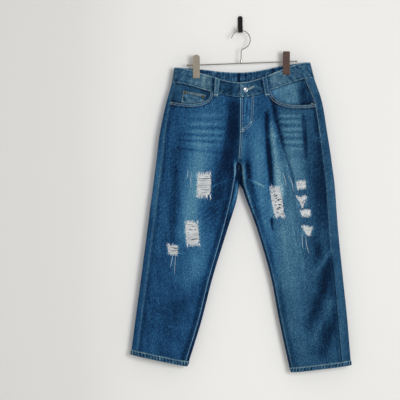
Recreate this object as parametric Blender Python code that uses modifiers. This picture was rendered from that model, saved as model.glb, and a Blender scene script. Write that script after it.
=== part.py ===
"""Ripped jeans clipped to a wire trouser hanger that hangs on a small wall hook.

Metres, +Z up, +X to the wearer's left, +Y towards the wall. The origin is the fixing
point of the wall hook, on its flat back face, which lies in the plane y = 0.
"""

import math
from typing import NamedTuple

import bmesh
import bpy
from mathutils import Matrix, Vector
from mathutils.bvhtree import BVHTree

OBJECT_NAME = "ripped_jeans"

RIGHT, LEFT = -1, 1
FRONT, BACK = -1, 1

# Cloth
DENIM_WALL = 0.0016
BAND_WALL = 0.0030
HEM_WALL = 0.0028
POCKET_WALL = 0.0013
LOOP_WALL = 0.0018
THREAD_WALL = 0.0010
SEAM_GAP = 0.0003
INSEAM_GAP = 0.0010
LAYER_GAP = 0.0004
BAND_PROUD = 0.0007
HEM_PROUD = 0.0006

# Distances down the garment from the waist edge, the first column of the sections
BAND_END = 0.045
YOKE_SIDE_END = 0.080
YOKE_CENTRE_END = 0.112
CROTCH = 0.272
THIGH = 0.363
KNEE = 0.627
HEM_START = 0.853
HEM_END = 0.868

# Share of a panel's width over which it rounds off into a side fold
FOLD_SHARE = 0.36
# Where on a half wave a fold starts and ends, so that it does not fade out fully
FOLD_END = 0.1
# How far the fly side of the front stands over the other at the centre
LAP_STEP = 0.0024
LAP_FADE = 0.30
LAP_UNDER = 0.028
LAP_RAMP = 0.026
LAP_RAMP_END = 0.006

# Hanger and wall hook
HANG_Y = -0.025
WIRE_R = 0.0015
ROD_R = 0.00165
ROD_LEFT = Vector((-0.1550, HANG_Y, -0.1218))
ROD_RIGHT = Vector((0.1638, HANG_Y, -0.1098))
HOOK_CENTRE = Vector((0.0012, HANG_Y, -0.0447))
HOOK_R = 0.0282
HOOK_TIP_ANGLE = math.radians(171)
STEM_X = 0.0020
STEM_BEND_R = 0.0090
FERRULE_R = 0.0034
FERRULE_LENGTH = 0.0105
CAP_R = 0.0027
CAP_LENGTH = 0.0070

CLIP_WIDTH = 0.0206
CLIP_HEIGHT = 0.0705
CLIP_WALL = 0.0012
CLIP_ABOVE_ROD = 0.0305
CLIP_SPREAD = 0.0075
CLIP_BEND_TOP, CLIP_BEND_FOOT = 0.012, 0.004
CLIP_LIP, CLIP_LIP_HEIGHT = 0.0008, 0.004
CLIP_FLAT = 0.0165
CLIP_REACH = 0.058
CLIP_FADE_TOP = -0.158
CLIP_FADE_END = -0.300
PINCHED_DEPTH = 0.0034
SLEEVE_R = 0.0040
SLEEVE_LENGTH = 0.0150

PLATE_WIDTH = 0.0144
PLATE_TOP = 0.0300
PLATE_FOOT = -0.0150
PLATE_WALL = 0.0036
ARM_FOOT = -0.0222
ARM_ROOT_TOP = -0.0060
ARM_ROOT_FOOT = -0.0140
ARM_SLOPE_END_Y = -0.0150
TIP_TOP = -0.0070
TIP_GAP = 0.0030
TIP_WALL = 0.0040


class Section(NamedTuple):
    """One ring of one side of the jeans, from its side fold to its centre or inseam."""

    down: float
    outer_x: float
    outer_z: float
    inner_x: float
    front_z: float
    back_z: float
    front_depth: float
    back_depth: float
    mid_y: float
    joined: float
    side_inset: float
    inseam_inset: float


class Fold(NamedTuple):
    """A soft trough, or a ridge where deep is negative, along a line on one face."""

    face: int
    top_x: float
    top_z: float
    end_x: float
    end_z: float
    half_width: float
    deep: float


class Rip(NamedTuple):
    """A hole worn through a front: its middle, its size, and how far its top leans to -X."""

    name: str
    side: int
    x: float
    z: float
    width: float
    height: float
    lean: float


RIGHT_SECTIONS = (
    Section(0.000, -0.1955, -0.1296, -0.0024, -0.1750, -0.1450, 0.019, 0.009, -0.025, 1.00, 0.0100, 0.000),
    Section(0.045, -0.2045, -0.1750, -0.0024, -0.2190, -0.1930, 0.022, 0.011, -0.025, 1.00, 0.0100, 0.000),
    Section(0.110, -0.2240, -0.2400, -0.0030, -0.2750, -0.2540, 0.026, 0.014, -0.026, 1.00, 0.0110, 0.000),
    Section(0.196, -0.2430, -0.3250, -0.0050, -0.3440, -0.3350, 0.028, 0.016, -0.027, 0.75, 0.0140, 0.000),
    Section(0.272, -0.2525, -0.4000, -0.0092, -0.4060, -0.4060, 0.026, 0.017, -0.027, 0.00, 0.0160, 0.000),
    Section(0.363, -0.2640, -0.4900, -0.0060, -0.4900, -0.4900, 0.024, 0.016, -0.026, 0.00, 0.0160, 0.013),
    Section(0.485, -0.2778, -0.6100, -0.0405, -0.6150, -0.6150, 0.022, 0.015, -0.026, 0.00, 0.0160, 0.012),
    Section(0.627, -0.2958, -0.7500, -0.0868, -0.7620, -0.7620, 0.020, 0.014, -0.026, 0.00, 0.0160, 0.009),
    Section(0.754, -0.3120, -0.8750, -0.1190, -0.8950, -0.8950, 0.018, 0.013, -0.025, 0.00, 0.0160, 0.008),
    Section(0.853, -0.3285, -0.9770, -0.1550, -1.0170, -1.0170, 0.017, 0.012, -0.025, 0.00, 0.0160, 0.008),
    Section(0.868, -0.3315, -0.9920, -0.1605, -1.0325, -1.0325, 0.017, 0.012, -0.025, 0.00, 0.0160, 0.008),
)

LEFT_SECTIONS = (
    Section(0.000, 0.2115, -0.1134, -0.0024, -0.1750, -0.1450, 0.019, 0.009, -0.025, 1.00, 0.0100, 0.000),
    Section(0.045, 0.2205, -0.1610, -0.0024, -0.2190, -0.1930, 0.022, 0.011, -0.025, 1.00, 0.0100, 0.000),
    Section(0.110, 0.2480, -0.2300, -0.0030, -0.2750, -0.2540, 0.026, 0.014, -0.026, 1.00, 0.0110, 0.000),
    Section(0.196, 0.2630, -0.3180, -0.0050, -0.3440, -0.3350, 0.028, 0.016, -0.027, 0.75, 0.0130, 0.000),
    Section(0.272, 0.2725, -0.3970, -0.0092, -0.4060, -0.4060, 0.026, 0.017, -0.027, 0.00, 0.0150, 0.000),
    Section(0.363, 0.2845, -0.4900, 0.0030, -0.4900, -0.4900, 0.024, 0.016, -0.026, 0.00, 0.0170, 0.007),
    Section(0.485, 0.2935, -0.6120, 0.0465, -0.6120, -0.6120, 0.022, 0.015, -0.026, 0.00, 0.0200, 0.006),
    Section(0.627, 0.3085, -0.7560, 0.0890, -0.7600, -0.7600, 0.020, 0.014, -0.026, 0.00, 0.0250, 0.006),
    Section(0.754, 0.3225, -0.8840, 0.1145, -0.8920, -0.8920, 0.018, 0.013, -0.025, 0.00, 0.0285, 0.006),
    Section(0.853, 0.3330, -1.0120, 0.1450, -1.0270, -1.0270, 0.017, 0.012, -0.025, 0.00, 0.0270, 0.006),
    Section(0.868, 0.3350, -1.0270, 0.1510, -1.0420, -1.0420, 0.017, 0.012, -0.025, 0.00, 0.0260, 0.006),
)
SECTIONS = {RIGHT: RIGHT_SECTIONS, LEFT: LEFT_SECTIONS}

FOLDS = (
    Fold(FRONT, 0.080, -0.262, 0.095, -0.590, 0.016, 0.0085),
    Fold(FRONT, 0.106, -0.285, 0.148, -0.450, 0.016, 0.0040),
    Fold(FRONT, -0.020, -0.250, -0.036, -0.500, 0.020, 0.0070),
    Fold(FRONT, 0.186, -0.270, 0.192, -0.370, 0.016, 0.0030),
    Fold(FRONT, 0.272, -0.760, 0.240, -0.950, 0.020, 0.0040),
    Fold(FRONT, -0.215, -0.560, -0.250, -0.780, 0.024, 0.0030),
    Fold(FRONT, -0.160, -0.700, -0.215, -0.820, 0.020, 0.0030),
    Fold(BACK, -0.060, -0.330, -0.105, -0.560, 0.020, 0.0040),
    Fold(BACK, 0.070, -0.340, 0.120, -0.580, 0.020, 0.0040),
    Fold(BACK, -0.170, -0.640, -0.200, -0.820, 0.022, 0.0030),
    Fold(BACK, 0.190, -0.650, 0.205, -0.840, 0.022, 0.0030),
)

RIPS = (
    Rip("rip_threads_right_thigh", RIGHT, -0.1100, -0.4830, 0.042, 0.068, -0.002),
    Rip("rip_threads_right_knee", RIGHT, -0.1455, -0.6275, 0.040, 0.069, 0.004),
    Rip("rip_threads_right_knee_side", RIGHT, -0.2035, -0.6780, 0.032, 0.032, 0.002),
    Rip("rip_threads_left_thigh", LEFT, 0.1090, -0.5330, 0.030, 0.088, 0.014),
    Rip("rip_threads_left_upper", LEFT, 0.1815, -0.4835, 0.030, 0.023, 0.002),
    Rip("rip_threads_left_middle", LEFT, 0.1840, -0.5285, 0.029, 0.025, 0.002),
    Rip("rip_threads_left_lower", LEFT, 0.1920, -0.5665, 0.034, 0.021, 0.003),
    Rip("rip_threads_left_knee", LEFT, 0.2015, -0.6220, 0.034, 0.028, 0.004),
)
RIP_POINTS = 12
RIP_SQUARENESS = 3.2
THREAD_MARGIN = 1.22

# Hip pocket mouths: how far each starts from the centre, how deep its curve falls, and how
# square its corner is
MOUTH_START = {RIGHT: -0.0915, LEFT: 0.0920}
MOUTH_DROP = {RIGHT: 0.0545, LEFT: 0.0735}
MOUTH_ROUNDNESS = {RIGHT: 2.4, LEFT: 2.0}
MOUTH_POINTS = 9
MOUTH_PAST_SIDE = 0.030
MOUTH_PAST_TOP = 0.090
FACING_MARGIN = 0.016

COIN_LEFT_X, COIN_RIGHT_X = -0.1740, -0.1060
COIN_LEFT_DROP, COIN_RIGHT_DROP = 0.0200, 0.0140
COIN_MOUTH_GAP = 0.0012
COIN_FLARE_OUTER, COIN_FLARE_INNER = 0.006, 0.003

BACK_POCKET_WIDTH = 0.136
BACK_POCKET_HEIGHT = 0.150
BACK_POCKET_POINT = 0.022
BACK_POCKET_FOOT_SHARE = 0.42
BACK_POCKET_TILT = 0.006
BACK_POCKET_X = {RIGHT: -0.1210, LEFT: 0.1270}
BACK_POCKET_TOP = -0.2700

LOOP_WIDTH = 0.0150
LOOP_LIFT = 0.0012
LOOP_EDGE = 0.0010
LOOP_FOOT_LIFT = 0.0005
LOOP_GAP = 0.0005
# Belt loops: name, side, face, distance from the centre, how far the foot leans out, and how
# far it reaches below the band
LOOPS = (
    ("belt_loop_front_right", RIGHT, FRONT, -0.0720, -0.0047, 0.0125),
    ("belt_loop_front_left", LEFT, FRONT, 0.0758, 0.0090, 0.0165),
    ("belt_loop_back_right", RIGHT, BACK, -0.1050, 0.0, 0.0070),
    ("belt_loop_back_left", LEFT, BACK, 0.1090, 0.0, 0.0070),
    ("belt_loop_back_centre", LEFT, BACK, 0.0055, 0.0, 0.0070),
)

CLIP_X = {RIGHT: -0.1328, LEFT: 0.1382}

BUTTON_X, BUTTON_DOWN = 0.0150, 0.0225
BUTTON_R, BUTTON_HEIGHT = 0.0074, 0.0026
RIVET_R, RIVET_HEIGHT, RIVET_GAP = 0.0042, 0.0014, 0.0009
RIVET_INSET = 0.0066

TURN_STEPS = 20

# Points across each panel, round a hem and across half of the band
FRONT_COLUMNS = {RIGHT: 17, LEFT: 19}
BACK_COLUMNS = 18
HEM_COLUMNS = 26
BAND_COLUMNS = 10
TURN_APART = 0.03
LAP_COLUMNS = 9
# How far cutters run past the hanging plane
CUT_DEPTH = 0.05

# Colour, roughness and metallic value of each material
MATERIALS = {
    "denim": ((0.030, 0.085, 0.165), 0.88, 0.0),
    "denim_band": ((0.045, 0.110, 0.165), 0.86, 0.0),
    "denim_facing": ((0.040, 0.105, 0.150), 0.86, 0.0),
    "hem": ((0.050, 0.110, 0.160), 0.88, 0.0),
    "thread_white": ((0.620, 0.630, 0.620), 0.90, 0.0),
    "button_metal": ((0.520, 0.530, 0.540), 0.30, 1.0),
    "rivet_metal": ((0.230, 0.140, 0.075), 0.45, 1.0),
    "hanger_chrome": ((0.460, 0.450, 0.430), 0.22, 1.0),
    "clip_taupe": ((0.330, 0.290, 0.235), 0.35, 0.6),
    "clip_brown": ((0.125, 0.072, 0.060), 0.38, 0.6),
    "cap_grey": ((0.250, 0.240, 0.210), 0.40, 0.3),
    "hook_black": ((0.015, 0.015, 0.014), 0.45, 0.0),
}


# ---------------------------------------------------------------- scene and materials


def clear_scene():
    """Removes whatever the file starts with."""
    for item in list(bpy.context.scene.objects):
        bpy.data.objects.remove(item, do_unlink=True)


def new_collection(name):
    """A collection linked to the scene."""
    collection = bpy.data.collections.new(name)
    bpy.context.scene.collection.children.link(collection)
    return collection


def new_material(name):
    """A Principled material from the table, one for each piece."""
    colour, roughness, metallic = MATERIALS[name]
    material = bpy.data.materials.new(name)
    material.use_nodes = True
    shader = material.node_tree.nodes["Principled BSDF"]
    shader.inputs["Base Color"].default_value = (*colour, 1.0)
    shader.inputs["Roughness"].default_value = roughness
    shader.inputs["Metallic"].default_value = metallic
    material.diffuse_color = (*colour, 1.0)
    return material


def add_object(name, mesh, collection, material_name=None):
    """An object for a mesh, in a collection, with its own material."""
    item = bpy.data.objects.new(name, mesh)
    collection.objects.link(item)
    if material_name:
        mesh.materials.append(new_material(material_name))
    return item


def mesh_from(name, bm):
    """A mesh made from a bmesh, which is freed."""
    mesh = bpy.data.meshes.new(name)
    bm.to_mesh(mesh)
    bm.free()
    return mesh


# ---------------------------------------------------------------- the jeans' surface


def smoothstep(value):
    """0 below 0, 1 above 1 and a smooth rise between."""
    value = min(max(value, 0.0), 1.0)
    return value * value * (3.0 - 2.0 * value)


def section_at(side, down):
    """The section at a distance down, on a smooth curve through the table's rows.

    The curve has a corner at the crotch, so both sides keep to one centre line above it.
    """
    rows = SECTIONS[side]
    index = max(i for i in range(len(rows) - 1) if rows[i].down <= down or i == 0)
    low, high = rows[index], rows[index + 1]
    before = low if low.down == CROTCH else rows[max(index - 1, 0)]
    after = high if high.down == CROTCH else rows[min(index + 2, len(rows) - 1)]
    span = high.down - low.down
    t = (down - low.down) / span
    values = []
    for a, b, c, d in zip(before, low, high, after):
        slope_low = (c - a) / (high.down - before.down) * span
        slope_high = (d - b) / (after.down - low.down) * span
        t2, t3 = t * t, t * t * t
        values.append(
            (2 * t3 - 3 * t2 + 1) * b
            + (t3 - 2 * t2 + t) * slope_low
            + (3 * t2 - 2 * t3) * c
            + (t3 - t2) * slope_high
        )
    row = Section(*values)
    joined = min(max(row.joined, 0.0), 1.0) if down < CROTCH else 0.0
    return row._replace(down=down, joined=joined, inner_x=row.inner_x + side * SEAM_GAP / 2)


def quarter(value):
    """A quarter circle's height at a share of its width, and 1 past it."""
    value = min(max(value, 0.0), 1.0)
    return math.sqrt(1.0 - (1.0 - value) ** 2)


def pinch_at(x, z):
    """1 where a clip holds both layers together, fading to 0 round it and below it."""
    across = 0.0
    for clip_x in CLIP_X.values():
        away = (abs(x - clip_x) - CLIP_FLAT) / (CLIP_REACH - CLIP_FLAT)
        across = max(across, 1.0 - smoothstep(away))
    below = (CLIP_FADE_TOP - z) / (CLIP_FADE_TOP - CLIP_FADE_END)
    return across * (1.0 - smoothstep(below))


def fold_at(face, x, z):
    """How far the folds push one face of the cloth inwards."""
    total = 0.0
    for fold in FOLDS:
        if fold.face != face:
            continue
        start = Vector((fold.top_x, fold.top_z))
        line = Vector((fold.end_x, fold.end_z)) - start
        here = Vector((x, z)) - start
        share = min(max(here.dot(line) / line.length_squared, 0.0), 1.0)
        away = (here - line * share).length
        width_share = math.exp(-((away / fold.half_width) ** 2))
        length_share = math.sin(math.pi * (FOLD_END + (1.0 - 2.0 * FOLD_END) * share))
        total += fold.deep * width_share * length_share
    return total


def cloth_point(side, down, turn):
    """A point on the outer face of the cloth.

    turn runs from -1 at the front's centre or inseam, through 0 at the side fold, to 1 at
    the back's. Below the crotch the ring is closed, and a turn past 1 comes round to the front.
    """
    if turn > 1.0:
        turn -= 2.0
    row = section_at(side, down)
    face = FRONT if turn < 0 else BACK
    across = (1.0 - math.cos(math.pi * abs(turn))) / 2
    x = row.outer_x + (row.inner_x - row.outer_x) * across
    centre_z = row.front_z if face == FRONT else row.back_z
    sag = across + (smoothstep(across) - across) * row.joined
    z = row.outer_z + (centre_z - row.outer_z) * sag
    roundness = quarter(across / FOLD_SHARE)
    roundness *= row.joined + (1.0 - row.joined) * quarter((1.0 - across) / FOLD_SHARE)
    depth = row.front_depth if face == FRONT else row.back_depth
    depth = depth * roundness
    depth += (PINCHED_DEPTH - depth) * pinch_at(x, z)
    depth -= fold_at(face, x, z) * roundness
    if side == LEFT and face == FRONT:
        depth += LAP_STEP * row.joined * smoothstep((across - 1.0 + LAP_FADE) / LAP_FADE)
    return Vector((x, row.mid_y + face * depth, z))


def turn_at_inset(side, down, inset, from_centre=False):
    """The turn, without its sign, of a point an inset away from the side fold or the inseam."""
    row = section_at(side, down)
    share = min(max(inset / abs(row.outer_x - row.inner_x), 0.0), 1.0)
    if from_centre:
        share = 1.0 - share
    return math.acos(1.0 - 2.0 * share) / math.pi


def turn_at_x(side, down, x):
    """The turn, without its sign, of a point at x."""
    row = section_at(side, down)
    return turn_at_inset(side, down, abs(x - row.outer_x))


def surface_frame(side, down, turn):
    """A point of the cloth with its outward normal, its direction down and that across."""
    step = 0.0015
    here = cloth_point(side, down, turn)
    below = cloth_point(side, min(down + step, HEM_END), turn) - cloth_point(side, down - step, turn)
    beside = cloth_point(side, down, turn + 0.01) - cloth_point(side, down, turn - 0.01)
    normal = below.cross(beside).normalized()
    face = FRONT if turn < 0 else BACK
    if normal.y * face < 0:
        normal = -normal
    return here, normal, below.normalized(), normal.cross(below).normalized()


def steps(first, last, count):
    """Evenly spaced values, both ends included."""
    return [first + (last - first) * i / (count - 1) for i in range(count - 1)] + [last]


# ---------------------------------------------------------------- walls of cloth


def grid_normals(rows, closed):
    """A unit normal for each point of a grid, turned outwards from the hanging plane."""
    count = len(rows[0])
    normals = []
    for i, row in enumerate(rows):
        line = []
        for j, _ in enumerate(row):
            up = rows[max(i - 1, 0)][j]
            down = rows[min(i + 1, len(rows) - 1)][j]
            before = row[(j - 1) % count] if closed else row[max(j - 1, 0)]
            after = row[(j + 1) % count] if closed else row[min(j + 1, count - 1)]
            line.append((down - up).cross(after - before).normalized())
        normals.append(line)
    outward = sum(n.y * (p.y - HANG_Y) for ns, ps in zip(normals, rows) for n, p in zip(ns, ps))
    return [[n if outward > 0 else -n for n in line] for line in normals]


def moved(rows, distance, closed=False):
    """A grid moved out by a distance, or in where it is negative."""
    normals = grid_normals(rows, closed)
    return [[p + n * distance for p, n in zip(ps, ns)] for ps, ns in zip(rows, normals)]


def grid_faces(row_count, column_count, closed=False):
    """Two triangles for each cell of a grid, all split the same way, as point indices."""
    faces = []
    for i in range(row_count - 1):
        for j in range(column_count if closed else column_count - 1):
            k = (j + 1) % column_count
            here, beside = i * column_count + j, i * column_count + k
            faces.append((here, beside, beside + column_count))
            faces.append((here, beside + column_count, here + column_count))
    return faces


def point_on(rows, x, z, face):
    """Where a line along Y at x and z meets the outside of a grid, with the normal there."""
    points = [point for row in rows for point in row]
    tree = BVHTree.FromPolygons(points, grid_faces(len(rows), len(rows[0])))
    start = Vector((x, HANG_Y + face * 0.1, z))
    place, normal, _, _ = tree.ray_cast(start, Vector((0.0, -face, 0.0)))
    return place, normal if normal.y * face > 0 else -normal


def cloth_wall(name, rows, wall, collection, material_name, closed=False):
    """A wall of cloth: a grid of points on its outer face, thickened inwards."""
    bm = bmesh.new()
    verts = [bm.verts.new(point) for row in rows for point in row]
    for corners in grid_faces(len(rows), len(rows[0]), closed):
        bm.faces.new([verts[corner] for corner in corners])
    bm.normal_update()
    outward = sum(
        face.normal.y * (face.calc_center_median().y - HANG_Y) * face.calc_area() for face in bm.faces
    )
    if outward < 0:
        bmesh.ops.reverse_faces(bm, faces=bm.faces)
    item = add_object(name, mesh_from(name, bm), collection, material_name)
    item.data.shade_smooth()
    thick = item.modifiers.new("wall", "SOLIDIFY")
    thick.thickness = wall
    thick.offset = -1.0
    thick.use_even_offset = True
    return item


def prism(name, outline, front_y, back_y, collection):
    """A cutter with an outline in the XZ plane, running along Y."""
    bm = bmesh.new()
    front = [bm.verts.new((x, front_y, z)) for x, z in outline]
    back = [bm.verts.new((x, back_y, z)) for x, z in outline]
    count = len(outline)
    bm.faces.new(front)
    bm.faces.new(list(reversed(back)))
    for i in range(count):
        k = (i + 1) % count
        bm.faces.new((front[k], front[i], back[i], back[k]))
    bmesh.ops.recalc_face_normals(bm, faces=bm.faces)
    item = add_object(name, mesh_from(name, bm), collection)
    item.hide_render = True
    item.display_type = "WIRE"
    return item


def cut(item, cutter, operation):
    """Adds a Boolean with the exact solver."""
    boolean = item.modifiers.new(cutter.name, "BOOLEAN")
    boolean.operation = operation
    boolean.object = cutter
    boolean.solver = "EXACT"


# ---------------------------------------------------------------- outlines


def rip_outline(rip, scale=1.0):
    """The rounded, leaning outline of a rip, wider or narrower by a scale."""
    points = []
    for i in range(RIP_POINTS):
        angle = 2 * math.pi * (i + 0.5) / RIP_POINTS
        c, s = math.cos(angle), math.sin(angle)
        u = math.copysign(abs(c) ** (2 / RIP_SQUARENESS), c)
        v = math.copysign(abs(s) ** (2 / RIP_SQUARENESS), s)
        uneven = 1.0 + 0.05 * math.sin(3 * angle + 40 * rip.x)
        x = rip.x + u * rip.width / 2 * scale * uneven - v * rip.lean / 2
        points.append((x, rip.z + v * rip.height / 2 * scale * uneven))
    return points


def band_seam_z(side, x):
    """Height of the front's band seam at x."""
    return cloth_point(side, BAND_END, -turn_at_x(side, BAND_END, x)).z


def mouth_outline(side, grow=0.0):
    """A hip pocket's mouth: a quarter curve below the band, open to the side and the top."""
    start = MOUTH_START[side] - side * grow
    side_x = section_at(side, BAND_END + MOUTH_DROP[side]).outer_x
    top_z = band_seam_z(side, start)
    power = 2 / MOUTH_ROUNDNESS[side]
    points = []
    for i in range(MOUTH_POINTS):
        angle = math.pi / 2 * i / (MOUTH_POINTS - 1)
        share = 1.0 - math.cos(angle) ** power
        drop = (MOUTH_DROP[side] + grow) * math.sin(angle) ** power
        x = start + (side_x - start) * share
        seam = top_z + (section_at(side, BAND_END).outer_z - top_z) * share
        points.append((x, seam - drop))
    far_x = side_x + side * MOUTH_PAST_SIDE
    past_top = points[0][1] + MOUTH_PAST_TOP
    points.append((far_x, points[-1][1]))
    points.append((far_x, past_top))
    points.append((start, past_top))
    return points


def back_pocket_outline(side):
    """A patch pocket: a shield with a pointed foot, leaning a little with its side."""
    x, top = BACK_POCKET_X[side], BACK_POCKET_TOP
    half, foot = BACK_POCKET_WIDTH / 2, BACK_POCKET_WIDTH * BACK_POCKET_FOOT_SHARE
    tilt = side * BACK_POCKET_TILT
    return [
        (x - half, top + tilt),
        (x + half, top - tilt),
        (x + foot, top - BACK_POCKET_HEIGHT + BACK_POCKET_POINT - tilt),
        (x, top - BACK_POCKET_HEIGHT),
        (x - foot, top - BACK_POCKET_HEIGHT + BACK_POCKET_POINT + tilt),
    ]


# ---------------------------------------------------------------- panels


def seam_downs(first):
    """The rings at which fronts and backs have points, from the yoke or the band to the hem."""
    downs = steps(BAND_END, YOKE_SIDE_END, 3)[:-1] if first == BAND_END else []
    downs += steps(YOKE_SIDE_END, CROTCH, 6)
    downs += steps(CROTCH, THIGH, 5)[1:]
    downs += steps(THIGH, KNEE, 6)[1:]
    downs += steps(KNEE, HEM_START, 5)[1:]
    downs[0] += SEAM_GAP
    downs[-1] -= SEAM_GAP
    return downs


def front_rows(side):
    """The grid of a front, from the band seam to the hem and from side seam to centre."""
    rows = []
    for down in seam_downs(BAND_END):
        row = section_at(side, down)
        first = turn_at_inset(side, down, row.side_inset + SEAM_GAP)
        inset = row.inseam_inset + INSEAM_GAP / 2 if down >= CROTCH else 0.0
        last = turn_at_inset(side, down, inset, from_centre=True)
        turns = steps(first, last, FRONT_COLUMNS[side])
        rows.append([cloth_point(side, down, -turn) for turn in turns])
    return rows


def back_turns(side, down):
    """Turns across a back, from the side seam on the front to the centre or the inseam."""
    row = section_at(side, down)
    first = -turn_at_inset(side, down, row.side_inset - SEAM_GAP)
    last = 1.0
    if down > CROTCH:
        inset = max(row.inseam_inset - INSEAM_GAP / 2, 0.0)
        last = 2.0 - turn_at_inset(side, down, inset, from_centre=True)
    return steps(first, last, BACK_COLUMNS)


def yoke_line(turn):
    """How far down the yoke seam is: a shallow V that is deepest at the centre."""
    share = (1.0 - math.cos(math.pi * min(max(turn, 0.0), 1.0))) / 2
    return YOKE_SIDE_END + (YOKE_CENTRE_END - YOKE_SIDE_END) * share


def back_rows(side):
    """The grid of a back below its yoke, whose rings bend into the yoke seam's V."""
    rows = []
    for down in seam_downs(YOKE_SIDE_END):
        bend = max(CROTCH - down, 0.0) / (CROTCH - YOKE_SIDE_END)
        line = []
        for turn in back_turns(side, down):
            line.append(cloth_point(side, down + (yoke_line(turn) - YOKE_SIDE_END) * bend, turn))
        rows.append(line)
    return rows


def yoke_rows(side):
    """The grid of a yoke, between the band and the back."""
    rows = []
    for share in steps(0.0, 1.0, 3):
        line = []
        for turn in back_turns(side, YOKE_SIDE_END):
            first = BAND_END + SEAM_GAP
            line.append(cloth_point(side, first + (yoke_line(turn) - first) * share, turn))
        rows.append(line)
    return rows


def rows_about(rows, outline):
    """The part of a grid that covers an outline, with a cell to spare on each side."""
    xs = [x for x, _ in outline]
    zs = [z for _, z in outline]

    def inside(point):
        return min(xs) <= point.x <= max(xs) and min(zs) <= point.z <= max(zs)

    hit_rows = [i for i, row in enumerate(rows) if any(inside(p) for p in row)]
    hit_columns = [j for j in range(len(rows[0])) if any(inside(row[j]) for row in rows)]
    if not hit_rows:
        middle = Vector((sum(xs) / len(xs), 0.0, sum(zs) / len(zs)))
        spots = []
        for i, row in enumerate(rows):
            spots += [(p.x - middle.x, p.z - middle.z, i, j) for j, p in enumerate(row)]
        near = min(spots, key=lambda spot: math.hypot(spot[0], spot[1]))
        hit_rows, hit_columns = [near[2]], [near[3]]
    top, bottom = max(hit_rows[0] - 1, 0), min(hit_rows[-1] + 2, len(rows))
    first, last = max(hit_columns[0] - 1, 0), min(hit_columns[-1] + 2, len(rows[0]))
    return [row[first:last] for row in rows[top:bottom]]


def add_patch(name, rows, wall, outlines, face, parts, cutters, material_name):
    """A piece that lies on a panel: the panel's grid, moved already, cut to outlines."""
    patch = cloth_wall(name, rows_about(rows, outlines[0]), wall, parts, material_name)
    near_y, far_y = sorted((HANG_Y, HANG_Y + face * CUT_DEPTH))
    for index, outline in enumerate(outlines):
        cutter = prism(f"{name}_outline_{index}", outline, near_y, far_y, cutters)
        cut(patch, cutter, "INTERSECT")
    return patch


def add_fronts(parts, cutters):
    """Both fronts with their pocket mouths and rips cut, and what shows through these."""
    for side, label in ((RIGHT, "right"), (LEFT, "left")):
        rows = front_rows(side)
        front = cloth_wall(f"front_{label}", rows, DENIM_WALL, parts, "denim")
        mouth = prism(f"mouth_{label}", mouth_outline(side), HANG_Y - CUT_DEPTH, HANG_Y, cutters)
        cut(front, mouth, "DIFFERENCE")
        behind = moved(rows, -DENIM_WALL - LAYER_GAP)
        outlines = [mouth_outline(side, FACING_MARGIN)]
        name = f"pocket_facing_{label}"
        add_patch(name, behind, POCKET_WALL, outlines, FRONT, parts, cutters, "denim_facing")
        for rip in RIPS:
            if rip.side != side:
                continue
            outline = rip_outline(rip)
            hole = prism(f"hole_{rip.name}", outline, HANG_Y - CUT_DEPTH, HANG_Y, cutters)
            cut(front, hole, "DIFFERENCE")
            wide = rip_outline(rip, THREAD_MARGIN)
            add_patch(rip.name, behind, THREAD_WALL, [wide], FRONT, parts, cutters, "thread_white")
        if side == RIGHT:
            over = moved(rows, POCKET_WALL - DENIM_WALL)
            add_coin_pocket(over, parts, cutters)


def add_coin_pocket(rows, parts, cutters):
    """The coin pocket on the right facing, with its two rivets."""
    top = band_seam_z(RIGHT, COIN_LEFT_X) - COIN_LEFT_DROP
    top_inner = band_seam_z(RIGHT, COIN_RIGHT_X) - COIN_RIGHT_DROP
    foot = top_inner - MOUTH_DROP[RIGHT]
    outline = [
        (COIN_LEFT_X, top),
        (COIN_RIGHT_X, top_inner),
        (COIN_RIGHT_X + COIN_FLARE_INNER, foot),
        (COIN_LEFT_X - COIN_FLARE_OUTER, foot),
    ]
    outlines = [outline, mouth_outline(RIGHT, -COIN_MOUTH_GAP)]
    add_patch("coin_pocket", rows, POCKET_WALL, outlines, FRONT, parts, cutters, "denim_facing")
    for label, x, z in (
        ("outer", COIN_LEFT_X + RIVET_INSET, top - RIVET_INSET),
        ("inner", COIN_RIGHT_X - RIVET_INSET, top_inner - RIVET_INSET),
    ):
        base, normal = point_on(rows, x, z, FRONT)
        base += normal * RIVET_GAP
        add_stud(f"coin_rivet_{label}", base, normal, RIVET_R, RIVET_HEIGHT, parts, "rivet_metal")


def add_stud(name, base, normal, radius, height, parts, material_name):
    """A turned, domed stud standing on a point of the cloth."""
    bm = bmesh.new()
    profile = (
        (0.0, height),
        (radius * 0.55, height * 0.94),
        (radius * 0.88, height * 0.72),
        (radius, height * 0.40),
        (radius, 0.0),
        (0.0, 0.0),
    )
    verts = [bm.verts.new((x, 0.0, z)) for x, z in profile]
    for a, b in zip(verts, verts[1:]):
        bm.edges.new((a, b))
    item = add_object(name, mesh_from(name, bm), parts, material_name)
    add_screw(item)
    item.location = base
    item.rotation_mode = "QUATERNION"
    item.rotation_quaternion = normal.to_track_quat("Z", "Y")
    return item


def add_screw(item):
    """A full turn about Z."""
    screw = item.modifiers.new("turn", "SCREW")
    screw.axis = "Z"
    screw.steps = TURN_STEPS
    screw.render_steps = TURN_STEPS
    screw.use_merge_vertices = True
    screw.merge_threshold = 0.0001
    screw.use_smooth_shade = True


def add_backs(parts, cutters):
    """Both backs and yokes, with a patch pocket on each back."""
    for side, label in ((RIGHT, "right"), (LEFT, "left")):
        rows = back_rows(side)
        cloth_wall(f"back_{label}", rows, DENIM_WALL, parts, "denim")
        cloth_wall(f"yoke_{label}", yoke_rows(side), DENIM_WALL, parts, "denim")
        over = moved(rows, LAYER_GAP + POCKET_WALL)
        outline = back_pocket_outline(side)
        seat = [row[BACK_COLUMNS // 6 :] for row in over]
        name = f"back_pocket_{label}"
        add_patch(name, seat, POCKET_WALL, [outline], BACK, parts, cutters, "denim")


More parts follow.
